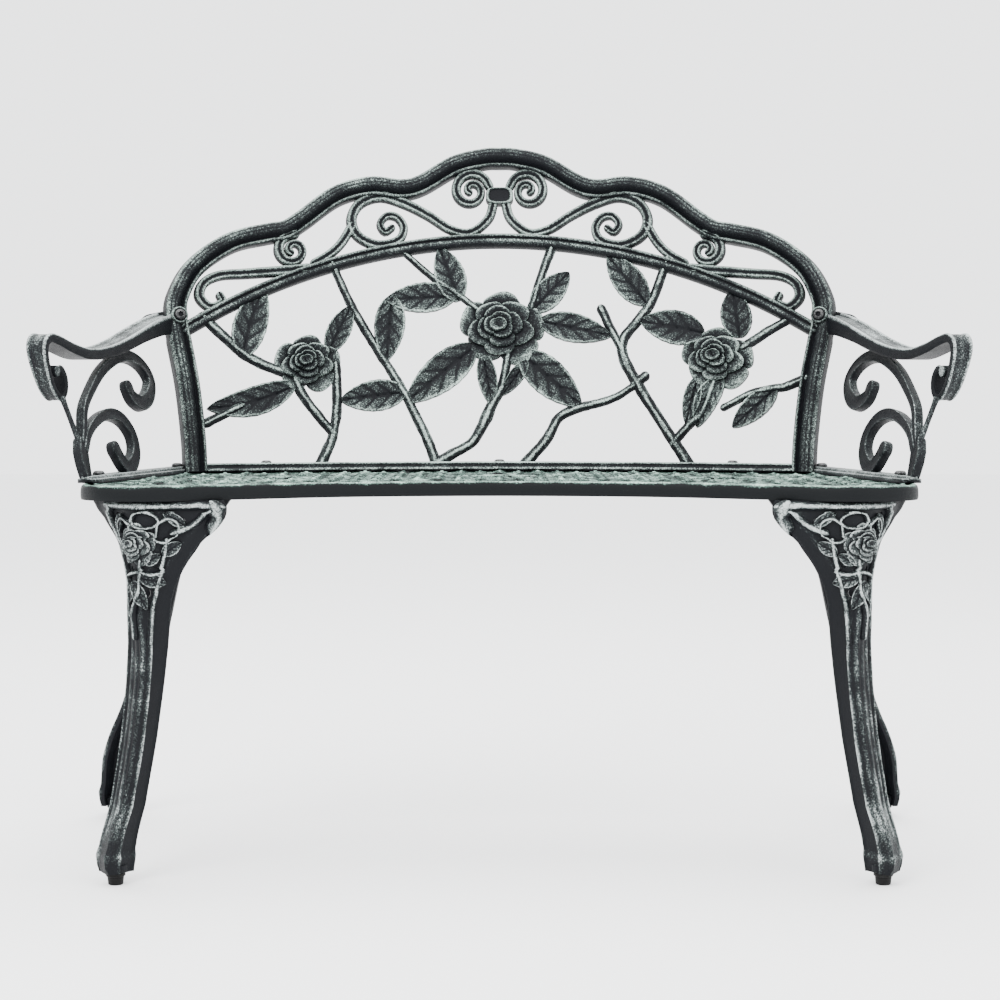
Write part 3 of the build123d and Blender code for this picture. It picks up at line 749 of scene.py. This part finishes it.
for name, blades in LEAVES.items():
    piece = Piece(name + "_casting")
    for index, (base, tip, width, bend) in enumerate(blades):
        leaf(piece, base, tip, width, bend, on_back, seed=index * 0.37)
    piece.build(back_patina, name, "back_patina")

# --- seat ---
SEAT_HALF = [
    (0, -135), (160, -157), (280, -212), (362, -249), (424, -232), (446, -175), (434, -60),
    (414, 30), (403, 68), (378, 93), (330, 113), (200, 150), (100, 166), (0, 171),
]
MEDALLIONS = [(-255, -30), (0, 20), (255, -30)]
MEDALLION_RADIUS = 44.0
# Ring round a medallion: radius, depth below the seat top, wear.
MEDALLION_RING = [(50, 9, .2), (51, 5, .4), (49.5, 2, .9), (46, 1.2, 1.0), (42.5, 2.2, .8),
                  (41, 5, .3), (42, 9, .2)]
LATTICE_X = 23.0
LATTICE_Y = 19.0


def seat_line(inset, spacing=6.0):
    left = [(-x, y) for x, y in reversed(SEAT_HALF[1:-1])]
    path = smooth_path(SEAT_HALF + left, spacing, closed=True)
    sides = normals_of(path, closed=True)
    return [point + side * inset for point, side in zip(path, sides)]


def inside(point, outline):
    """True if a point lies within a closed outline."""
    hit = False
    for a, b in zip(outline, outline[1:] + outline[:1]):
        if (a.y > point.y) != (b.y > point.y):
            if point.x < a.x + (b.x - a.x) * (point.y - a.y) / (b.y - a.y):
                hit = not hit
    return hit


# Distance in from the edge, height below the seat top, wear.
RIM_PROFILE = [
    (0.6, 16, .0), (0, 13.5, .0), (0, 8, .0), (0.3, 4.6, .05), (1.2, 2.0, .5),
    (3.2, 0.4, 1.0), (6.0, 0.2, .9), (8.0, 1.4, .5), (9.4, 3.2, .05), (11.0, 3.2, .05),
    (12.4, 1.4, .5), (15.0, 0.0, .95), (17.8, 0.6, .8), (20.4, 2.6, .4), (22.6, 5.2, .2),
    (24, 7.5, .1), (24, 10.5, .0), (8, 10.5, .0), (6, 16, .0),
]


def seat_rim(piece):
    rings = []
    lines = [seat_line(inset) for inset, drop, wear in RIM_PROFILE]
    wear_row = [wear for inset, drop, wear in RIM_PROFILE]
    for i in range(len(lines[0])):
        rings.append([on_seat(line[i].x, line[i].y, drop)
                      for line, (inset, drop, wear) in zip(lines, RIM_PROFILE)])
    piece.skin(rings, [wear_row] * len(rings), joined=True)


LATTICE_PROFILE = both_sides(
    [(1.0, 8.5, .0), (1.0, 4.2, .1), (0.8, 2.2, .45), (0.4, 1.2, .8)],
    [(0.0, 1.0, .9)]) + [(0.0, 9.5, .0)]


def seat_lattice(piece, border):
    """Crossing diagonal bars, kept inside the rim and off the medallions."""
    for slope in (-1, 1):
        step = Vector((LATTICE_X, slope * LATTICE_Y)) / 8
        for offset in range(-26, 27):
            origin = Vector(((offset + 0.5) * LATTICE_X, -slope * (offset + 0.5) * LATTICE_Y))
            run = []
            for i in range(-170, 171):
                point = origin + step * i
                clear = all((point - Vector(m)).length > MEDALLION_RADIUS - 4 for m in MEDALLIONS)
                if abs(point.x) < 450 and abs(point.y) < 255 and clear and inside(point, border):
                    run.append(point)
                elif run:
                    add_bar(piece, run)
                    run = []
            if run:
                add_bar(piece, run)


def add_bar(piece, run):
    if (run[-1] - run[0]).length > 8:
        line = [run[0], run[0].lerp(run[-1], 0.5), run[-1]]
        sweep(piece, line, [9, 9], LATTICE_PROFILE, on_seat, spacing=7)


def seat_buttons(piece, border):
    """Small four-petalled flowers where the bars cross."""
    outline = [(7.6, 0.5), (7.0, 2.0), (5.0, 2.9), (3.6, 2.2), (3.0, 2.4), (2.2, 3.7), (0.8, 4.2)]
    for column in range(-19, 20):
        for row in range(-13, 9):
            if (column + row) % 2 == 0:
                continue
            centre = Vector((column * LATTICE_X, row * LATTICE_Y))
            clear = all((centre - Vector(m)).length > MEDALLION_RADIUS + 4 for m in MEDALLIONS)
            if not clear or not inside(centre, border):
                continue
            rings = []
            wears = []
            for radius, height in outline:
                ring = []
                for angle in angles(16):
                    reach = radius * (1 + 0.16 * math.cos(4 * angle) * (radius > 3.2))
                    ring.append(on_seat(centre.x + reach * math.cos(angle),
                                        centre.y + reach * math.sin(angle), 2.6 - height))
                rings.append(ring)
                wears.append(0.35 + 0.16 * height)
            piece.skin(rings, wears)


def seat_medallions(piece):
    """Roses in rings, with leaves fanned round them and tied to the lattice."""
    for x, y in MEDALLIONS:
        rings = []
        for radius, drop, wear in MEDALLION_RING:
            rings.append([on_seat(x + radius * math.cos(angle), y + radius * math.sin(angle), drop)
                          for angle in angles(72)])
        piece.skin(rings, [wear for radius, drop, wear in MEDALLION_RING], joined=True)
        for blade, angle in enumerate(angles(6, 0.5)):
            base = (x + 18 * math.cos(angle), y + 18 * math.sin(angle))
            tip = (x + 44 * math.cos(angle), y + 44 * math.sin(angle))
            leaf(piece, base, tip, 19, 0, lambda a, b, d: on_seat(a, b, d * 0.55 + 5.0),
                 seed=blade * 0.3)
        rose(piece, (x, y), 26, 26, 7.5, lambda a, b, d: on_seat(a, b, d + 7.2), sectors=90)


seat = Piece("seat_casting")
seat_rim(seat)
seat_border = seat_line(20)
seat_lattice(seat, seat_border)
seat_buttons(seat, seat_line(34))
seat_medallions(seat)
seat.build(seat_patina, "seat", "seat_patina")

# --- arms ---
ARM_RAIL_LINE = [
    (284, 178), (240, 172), (195, 162), (150, 150), (105, 141), (60, 138), (20, 144),
    (-10, 152), (-28, 154), (-36, 144), (-30, 124), (-16, 102), (0, 91), (12, 97), (13, 111),
    (3, 122), (-7, 119),
]
ARM_RAIL_THICKNESS = [24, 19, 15, 13, 12, 11, 10, 8, 7, 7]
# The strip keeps its width along the arm and narrows as it rolls into the volute.
ARM_RAIL_TAPER = [1, 1, 1, 1, 1, 1, 1, 1, .97, .86, .72, .6, .52, .5]
# Across -1 is the upper face: a shallow channel between two raised edges.
ARM_RAIL_PROFILE = [
    (-0.6, -15, .3), (-0.95, -14.4, .9), (-1.12, -12.6, 1.0), (-1.08, -10.8, .9),
    (-0.86, -9.2, .55), (-0.84, -4, .6), (-0.88, 0, .7), (-0.84, 4, .6), (-0.86, 9.2, .55),
    (-1.08, 10.8, .9), (-1.12, 12.6, 1.0), (-0.95, 14.4, .9), (-0.6, 15, .3), (0.6, 15, .0),
    (1.0, 13.6, .1), (1.0, 5, .0), (1.0, -5, .0), (1.0, -13.6, .1), (0.6, -15, .0),
]
LUG = [(-411, 601), (-398, 604), (-385, 606)]
LUG_PROFILE = [
    (1.0, 18, .4), (0.9, 19, .5), (-0.9, 19, .5), (-1.0, 18, .4), (-1.0, 14, .3),
    (-0.9, 13.2, .3), (0.9, 13.2, .3), (1.0, 14, .3),
]
arm_rail = Piece("arm_rail")
sweep(arm_rail, ARM_RAIL_LINE, ARM_RAIL_THICKNESS, ARM_RAIL_PROFILE, on_rail, spacing=3,
      depths=ARM_RAIL_TAPER)
sweep(arm_rail, LUG, [24, 24], LUG_PROFILE, on_back, spacing=4)
volute_end = ARM_RAIL_LINE[-1]
revolve(arm_rail, on_rail(volute_end[0], volute_end[1], -8.5), RAIL_SIDE,
        [(2.6, 0, .9), (5.4, 0.6, .8), (6.4, 2.4, .4), (6.4, 14.6, .3), (5.4, 16.4, .8),
         (2.6, 17, .9)], 24)

ARM_SCROLL_FACE = both_sides(
    [(1.0, 3.4, .36), (0.97, 4.7, .60), (0.86, 5.2, .64), (0.74, 4.6, .3)], [(0.0, 4.4, .16)])
ARM_SCROLL_PROFILE = ARM_SCROLL_FACE + [(-a, -depth, wear) for a, depth, wear in ARM_SCROLL_FACE]
UPPER_SCROLL = [
    (-14, 44), (-2, 60), (15, 82), (46, 102), (90, 124), (140, 139), (180, 142), (212, 132),
    (226, 114), (211, 96), (182, 86), (158, 93), (153, 104),
]
LOWER_SCROLL = [
    (-14, 36), (4, 52), (28, 64), (56, 72), (84, 74), (110, 67), (126, 50), (123, 31),
    (106, 17), (88, 12), (76, 21), (68, 34),
]
POST_PLATE = [(-26, 9), (-24, 26), (-18, 44)]
STRUT_FOOT = (-18, 42)
STRUT_HEAD = (0, 91)
STRUT_SIDE = 9.0


def bulb(piece, spot):
    """Flat round eye that ends a scroll, its edges rubbed bright."""
    outline = [(1.5, -5.5, .2), (7.6, -5.4, .3), (8.9, -4.8, .6), (9.6, -2.8, .4), (9.6, 2.8, .4),
               (8.9, 4.8, .6), (7.6, 5.4, .3), (1.5, 5.5, .2)]
    revolve(piece, on_arm(spot[0], spot[1], 0), ARM_SIDE, outline, 28)


upper = Piece("arm_upper_scroll")
sweep(upper, UPPER_SCROLL, [8, 9, 11, 13, 15, 19, 18], ARM_SCROLL_PROFILE, on_arm, spacing=3)
bulb(upper, UPPER_SCROLL[-1])
lower = Piece("arm_lower_scroll")
sweep(lower, LOWER_SCROLL, [9, 11, 13, 16, 18, 17], ARM_SCROLL_PROFILE, on_arm, spacing=3)
bulb(lower, LOWER_SCROLL[-1])
post = Piece("arm_post")
sweep(post, POST_PLATE, [13, 18, 20, 13], ARM_SCROLL_PROFILE, on_arm, spacing=3)
strut_foot = on_arm(*STRUT_FOOT, 0)
strut_head = on_rail(*STRUT_HEAD, STRUT_SIDE)
strut_length = (strut_head - strut_foot).length
revolve(post, strut_foot, strut_head - strut_foot,
        [(3.6, -4, .3), (4.4, 0, .7), (3.2, 8, .5), (2.8, 0.5 * strut_length, .4),
         (2.9, 0.8 * strut_length, .4), (3.6, strut_length, .6)], 16)

flange = Piece("arm_flange")
FLANGE_PROFILE = both_sides([
    (1.0, 0.4, .3), (1.0, -3.6, .6), (0.92, -4.6, .9), (0.72, -4.8, .7), (0.68, -7.0, .8),
    (0.58, -8.0, 1.0), (0.3, -7.4, .6),
])


def on_flange(s, across, depth):
    return ARM_BASE + ARM_ALONG * s + ARM_OUT * across + Vector((0, 0, -depth))


sweep(flange, [(-22, 0), (60, 0), (150, 0), (250, 0)], [24, 24], FLANGE_PROFILE, on_flange, spacing=8)

for piece, node in ((arm_rail, "arm_rail"), (upper, "arm_upper_scroll"),
                    (lower, "arm_lower_scroll"), (post, "arm_post"), (flange, "arm_flange")):
    piece.build_pair(arm_patina, node, "arm_patina")

# --- legs ---
# Each row: height, inner end, crown of the bend, outer end.
FRONT_LEG = [
    (405.4, (-288, -223), (-378, -239), (-435, -165)),
    (398, (-285, -223), (-378, -239), (-434, -166)),
    (385, (-289, -225), (-378, -240), (-424, -172)),
    (361, (-312, -228), (-378, -240), (-406, -190)),
    (330, (-332, -227), (-378, -238), (-396, -201)),
    (301, (-343, -223), (-378, -236), (-393, -206)),
    (240, (-350, -212), (-374, -230), (-393, -208)),
    (154, (-362, -206), (-383, -228), (-401, -206)),
    (84, (-374, -210), (-395, -234), (-412, -212)),
    (40, (-384, -214), (-407, -243), (-424, -216)),
    (22, (-385, -216), (-409, -246), (-426, -219)),
    (13, (-386, -218), (-408, -243), (-424, -219)),
]
REAR_LEG = [
    (405.4, (-320, 122), (-400, 113), (-431, 7)),
    (398, (-320, 123), (-400, 113), (-430, 8)),
    (385, (-326, 125), (-402, 115), (-430, 22)),
    (361, (-346, 130), (-408, 120), (-430, 60)),
    (330, (-364, 132), (-413, 125), (-431, 84)),
    (301, (-384, 131), (-416, 129), (-431, 99)),
    (240, (-397, 126), (-426, 133), (-440, 106)),
    (154, (-413, 130), (-440, 144), (-451, 116)),
    (84, (-440, 140), (-469, 156), (-479, 128)),
    (40, (-447, 144), (-476, 163), (-486, 134)),
    (22, (-448, 145), (-478, 165), (-488, 135)),
    (13, (-449, 146), (-477, 163), (-486, 134)),
]
LEG_WALL = 6.5
GLIDE_HEIGHT = 13
KNEE_ROSE = (-1, 360)
KNEE_ROSE_RADIUS = 23
# How far the prisms that pierce a knee reach outside and inside its face.
CUT_DEPTHS = (-7, 13)
LEG_COLUMNS = 44
LEG_ROWS = 200


def leg_relief(u, z):
    """Height of the cast pattern and its wear, at u across the face and height z."""
    knee = min(1.0, max(0.0, (z - 280) / 80))
    plain = 0.34 - 0.20 * knee
    edge = bell(u - 0.02, 0.02) + bell(u - 0.98, 0.02)
    corner = bell(u - plain, 0.03)
    flutes = 0.0
    if u > plain:
        share = (u - plain) / (1 - plain)
        flutes = (0.5 + 0.5 * math.cos(share * 4 * math.tau)) * (1 - 0.8 * knee)
        flutes *= min(1.0, max(0.0, (z - 40) / 60))
    cast = noise.noise(Vector((u * 7, z * 0.045, 2.0))) if u > plain else 0.0
    ankle = bell(z - 62, 30) if u > plain else 0.0
    foot = bell(z - 30, 5)
    height = 1.5 * edge + 1.3 * flutes + 1.4 * corner + 1.2 * foot + 0.6 * cast
    wear = 0.30 * edge + 0.40 * flutes + 0.34 * corner + 0.3 * ankle + 0.3 * foot + 0.3 * cast
    if u > plain:
        wear += 0.16 * (1 - knee)
    return height, min(1.0, max(0.0, wear))


def leg_level(levels, z):
    """Inner end, crown and outer end of the bend at any height, smoothly joined."""
    heights = [level[0] for level in levels]
    index = 0
    while index < len(heights) - 2 and heights[index + 1] > z:
        index += 1
    t = (heights[index] - z) / (heights[index] - heights[index + 1])
    result = []
    for k in (1, 2, 3):
        a, b, c, d = (Vector(levels[min(max(index + shift, 0), len(levels) - 1)][k])
                      for shift in (-1, 0, 1, 2))
        result.append(catmull(a, b, c, d, t))
    return result


def bend(inner, crown, outer, spacing):
    """Rounded bend of a leg wall in plan, fuller than straight lines through the crown."""
    bulge = (crown - (inner + outer) / 2) * 0.12
    near = crown.lerp(inner, 0.45) + bulge
    far = crown.lerp(outer, 0.45) + bulge
    return smooth_path([inner, near, crown, far, outer], spacing)


def leg_line(levels, z):
    """The bend of a leg at one height as equal steps, with its outward normals."""
    inner, crown, outer = leg_level(levels, z)
    line = even_steps(bend(inner, crown, outer, 400 / LEG_COLUMNS), LEG_COLUMNS)
    sides = normals_of(line)
    outward = crown - (inner + outer) / 2
    sign = 1 if sides[LEG_COLUMNS // 2].dot(outward) > 0 else -1
    return line, [side * sign for side in sides]


class Knee:
    """Place on the outside of a leg: a runs from the crown to the inner end, z upwards."""

    def __init__(self, levels):
        self.levels = levels
        self.rows = {}

    def at(self, a, level):
        if level not in self.rows:
            line, sides = leg_line(self.levels, level)
            crown = leg_level(self.levels, level)[1]
            step = (line[1] - line[0]).length
            middle = min(range(len(line)), key=lambda i: (line[i] - crown).length)
            self.rows[level] = (line, sides, step, middle)
        line, sides, step, middle = self.rows[level]
        place = min(max(middle - a / step, 0.0), len(line) - 1.001)
        index = int(place)
        share = place - index
        return line[index].lerp(line[index + 1], share), sides[index].lerp(sides[index + 1], share)

    def __call__(self, a, z, depth):
        top = self.levels[0][0] - 0.01
        low = math.floor(min(z, top - 1))
        share = min(z, top) - low
        spot_low, side_low = self.at(a, float(low))
        spot_high, side_high = self.at(a, float(min(low + 1, top)))
        spot = spot_low.lerp(spot_high, share)
        side = side_low.lerp(side_high, share).normalized()
        return Vector((spot.x - side.x * depth, spot.y - side.y * depth + PLAN_SHIFT, z))


# Raised pattern of the knee as (distance from the crown, height), then the width.
KNEE_STROKES = [
    ([(-5, 385), (0, 392), (9, 394), (19, 391), (24, 385), (19, 379), (8, 377), (-1, 379),
      (-5, 385)], 4.6),
    ([(22, 381), (33, 387), (43, 382), (42, 371), (31, 362), (20, 366), (22, 381)], 4.6),
    ([(-8, 381), (-20, 387), (-31, 380), (-30, 370), (-20, 361), (-9, 368), (-8, 381)], 4.6),
    ([(38, 372), (50, 376), (64, 384), (78, 396)], 8.0),
    ([(-24, 360), (-36, 368), (-45, 379), (-50, 392)], 8.0),
    ([(5, 342), (3, 326), (1, 308), (-7, 288), (-8, 262)], 6.0),
    ([(33, 364), (29, 344), (23, 323), (15, 291), (9, 256)], 6.5),
    ([(-26, 358), (-22, 338), (-16, 318), (-12, 286)], 5.5),
    ([(-16, 327), (0, 331), (14, 328), (26, 331)], 5.0),
    ([(-56, 400), (-20, 400), (20, 400), (60, 400), (88, 399)], 9.0),
    ([(82, 397), (86, 388), (81, 377)], 19.0),
    ([(-48, 396), (-49, 388), (-44, 379)], 12.0),
]
KNEE_LEAVES = [
    ((4, 325), (30, 319), 13), ((-4, 322), (9, 292), 12), ((-2, 318), (-19, 296), 12),
    ((28, 350), (48, 362), 12), ((-20, 350), (-38, 362), 10), ((10, 340), (26, 350), 10),
    ((50, 380), (30, 394), 11), ((-34, 372), (-22, 392), 10),
]
# Openings right through the knee: centre and half size.
KNEE_OPENINGS = [
    ((47, 385), 5.0, 4.0), ((36, 357), 3.2, 5.5), ((22, 337), 4.6, 1.8), ((-8, 334), 2.6, 4.0),
    ((12, 309), 3.0, 4.2), ((-33, 390), 4.0, 3.2),
]


def pierce(piece, prisms):
    """Cut prisms, each a pair of rings, right through the skin made so far."""
    cutter = Piece("cutter")
    for prism in prisms:
        cutter.skin(prism, [0.0, 0.0])
    body, tool = (worn_object("work", [p / 1000 for p in part.points], part.faces, part.wear)
                  for part in (piece, cutter))
    cut = body.modifiers.new("openings", "BOOLEAN")
    cut.operation = "DIFFERENCE"
    cut.solver = "EXACT"
    cut.use_self = True
    cut.object = tool
    result = bpy.data.meshes.new_from_object(
        body.evaluated_get(bpy.context.evaluated_depsgraph_get()))
    piece.points = [vertex.co * 1000 for vertex in result.vertices]
    piece.faces = [tuple(face.vertices) for face in result.polygons]
    values = [0.0] * len(result.vertices)
    result.attributes["wear"].data.foreach_get("value", values)
    piece.wear = values
    for obj in (body, tool):
        mesh = obj.data
        bpy.data.objects.remove(obj)
        bpy.data.meshes.remove(mesh)
    bpy.data.meshes.remove(result)


def knee_prisms(knee):
    """A pair of rings for each opening of the knee."""
    prisms = []
    for (a, z), half_width, half_height in KNEE_OPENINGS:
        outline = [(a + half_width * math.cos(angle), z + half_height * math.sin(angle))
                   for angle in angles(12, 0.5)]
        prisms.append([[knee(*point, depth) for point in outline] for depth in CUT_DEPTHS])
    return prisms


def leg_piece(name, levels, glide):
    """Bent leg wall with its flutes, the pierced and decorated knee, foot pad and top plate."""
    piece = Piece(name)
    rings = []
    wears = []
    for row in range(LEG_ROWS + 1):
        z = levels[0][0] + (levels[-1][0] - levels[0][0]) * row / LEG_ROWS
        line, sides = leg_line(levels, z)
        ring = []
        wear_row = []
        for i, point in enumerate(line):
            height, wear = leg_relief(i / LEG_COLUMNS, z)
            spot = point + sides[i] * (height - 1.4)
            ring.append(Vector((spot.x, spot.y + PLAN_SHIFT, z)))
            wear_row.append(wear)
        for i in range(LEG_COLUMNS, -1, -2):
            spot = line[i] - sides[i] * LEG_WALL
            ring.append(Vector((spot.x, spot.y + PLAN_SHIFT, z)))
            wear_row.append(0.0)
        rings.append(ring)
        wears.append(wear_row)
    piece.skin(rings, wears)
    knee = Knee(levels)
    pierce(piece, knee_prisms(knee))
    for index, (points, width) in enumerate(KNEE_STROKES):
        sweep(piece, points, [width, width], round_profile(2.6 + 0.22 * width, 16, 3), knee,
              spacing=2.0, rough=0.10, seed=index * 2.7)
    for index, (base, tip, width) in enumerate(KNEE_LEAVES):
        leaf(piece, base, tip, width, 0, lambda a, b, d: knee(a, b, d * 0.6), thick=3.0,
             seed=index * 0.4)
    rose(piece, KNEE_ROSE, KNEE_ROSE_RADIUS, KNEE_ROSE_RADIUS, 10, knee, sectors=90)
    revolve(piece, Vector((glide[0], glide[1] + PLAN_SHIFT, GLIDE_HEIGHT)), UP,
            [(11, 0, .1), (12.5, 1, .2), (12.5, 8, .1), (10, 10, .1)])
    top_plate(piece, levels)
    return piece


def top_plate(piece, levels):
    """Plate that closes the bend under the seat and takes the bolts."""
    line = bend(*(Vector(p) for p in levels[1][1:]), 6)
    centre = sum(line, Vector((0, 0))) / len(line)
    rings = []
    for z, scale in ((398, 0.93), (399, 0.95), (404.5, 0.95), (405.4, 0.94)):
        rings.append([Vector((centre.x + (p.x - centre.x) * scale,
                              centre.y + (p.y - centre.y) * scale + PLAN_SHIFT, z)) for p in line])
    piece.skin(rings, [0.2, 0.3, 0.3, 0.2])


FRONT_GLIDE = (-405, -224)
REAR_GLIDE = (-470, 148)
for node, levels, glide in (("leg_front", FRONT_LEG, FRONT_GLIDE), ("leg_rear", REAR_LEG, REAR_GLIDE)):
    leg_piece(node, levels, glide).build_pair(leg_patina, node, "leg_patina")

for node, place in (("glide_front", FRONT_GLIDE), ("glide_rear", REAR_GLIDE)):
    foot = Piece(node)
    revolve(foot, Vector((place[0], place[1] + PLAN_SHIFT, 0)), UP,
            [(7.2, 0, .6), (8.0, 0.8, .7), (8.6, 6, .4), (9.0, 9, .4), (10.3, 9.6, .8),
             (10.4, 12.2, .6), (9.4, 13, .3)], 36)
    foot.build_pair(foot_plastic, node, "foot_plastic", "moulding")

# --- fasteners ---
BOLT_HEAD = [(6.2, 0, .4), (6.6, 0.6, .6), (6.4, 1.8, .8), (5.6, 3.0, 1.0), (4.4, 3.8, .9)]
SOCKET = [(3.1, 4.0, .9), (2.9, 3.6, .2), (2.8, 1.4, 0.0)]


def bolt(piece, head, axis, length):
    """Domed bolt with a hexagon socket; the shank goes away from the head."""
    revolve(piece, head, axis, [(3.0, -length, .2), (3.0, -0.05, .2)], 18)
    forward = axis.normalized()
    rings = []
    wears = []
    for hexagon, outline in ((False, BOLT_HEAD), (True, SOCKET)):
        for radius, height, wear in outline:
            ring = []
            for spoke, angle in spokes(forward, 36):
                wedge = angle % (math.pi / 3) - math.pi / 6
                reach = radius / math.cos(wedge) if hexagon else radius
                ring.append(head + forward * height + spoke * reach)
            rings.append(ring)
            wears.append(wear)
    piece.skin(rings, wears)


rail_bolts = Piece("rail_bolts_heads")
for x in (-279, 0, 279):
    bolt(rail_bolts, Vector((x, on_back(x, SEAT_TOP, 0).y, 431.5)), UP, 34)
rail_bolts.build(hardware, "rail_bolts", "hardware")

arm_bolts = Piece("arm_seat_bolts_heads")
for station, length in ((4, 34), (236, 40)):
    head = ARM_BASE + ARM_ALONG * station + Vector((0, 0, 8))
    for sign in (1, -1):
        bolt(arm_bolts, Vector((head.x * sign, head.y, head.z)), UP, length)
arm_bolts.build(hardware, "arm_seat_bolts", "hardware")

joint_bolts = Piece("arm_back_bolts_heads")
for x in (-JOINT_X, JOINT_X):
    bolt(joint_bolts, on_back(x, JOINT_Z, -16.6), back_normal(x, JOINT_Z), 44)
joint_bolts.build(hardware, "arm_back_bolts", "hardware")

for node in ("arm_back_nuts", "seat_nuts", "seat_washers", "leg_bolts"):
    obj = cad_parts[node]
    obj.data.materials.clear()
    obj.data.materials.append(hardware)
    bevel = obj.modifiers.new("softened edges", "BEVEL")
    bevel.width = 0.0004
    bevel.segments = 2

# --- studio ---
floor_material = bpy.data.materials.new("studio_floor")
floor_material.use_nodes = True
floor_shader = floor_material.node_tree.nodes["Principled BSDF"]
floor_shader.inputs["Base Color"].default_value = (0.93, 0.93, 0.93, 1)
floor_shader.inputs["Roughness"].default_value = 0.75
bpy.ops.mesh.primitive_plane_add(size=16, location=(0, 2, 0))
floor = bpy.context.object
floor.name = "studio_floor"
floor.data.materials.append(floor_material)


def area_light(name, place, size, power):
    data = bpy.data.lights.new(name, "AREA")
    data.size = size
    data.energy = power
    light = bpy.data.objects.new(name, data)
    light.location = place
    aim = Vector((0, 0, 0.45)) - Vector(place)
    light.rotation_euler = aim.to_track_quat("-Z", "Y").to_euler()
    bpy.context.scene.collection.objects.link(light)


area_light("key", (-1.6, -2.6, 2.8), 1.8, 130)
area_light("fill", (2.4, -2.2, 1.6), 2.2, 60)
area_light("top", (0, 0.6, 3.2), 2.4, 110)

world = bpy.data.worlds.new("studio")
bpy.context.scene.world = world
world.use_nodes = True
world.node_tree.nodes["Background"].inputs["Color"].default_value = (0.93, 0.94, 0.95, 1)
world.node_tree.nodes["Background"].inputs["Strength"].default_value = 3.2

CAMERA_LENS = 78.757
CAMERA_DISTANCE = 2508
CAMERA_HEIGHT = 529.5
CAMERA_PITCH = math.radians(3.095)
camera_data = bpy.data.cameras.new("camera")
camera_data.lens = CAMERA_LENS
camera_data.sensor_width = 36
camera_data.shift_x = 0.0005
camera = bpy.data.objects.new("camera", camera_data)
camera.location = (0, (PLAN_SHIFT - CAMERA_DISTANCE) / 1000, CAMERA_HEIGHT / 1000)
camera.rotation_euler = (math.radians(90) - CAMERA_PITCH, 0, 0)
bpy.context.scene.collection.objects.link(camera)
bpy.context.scene.camera = camera
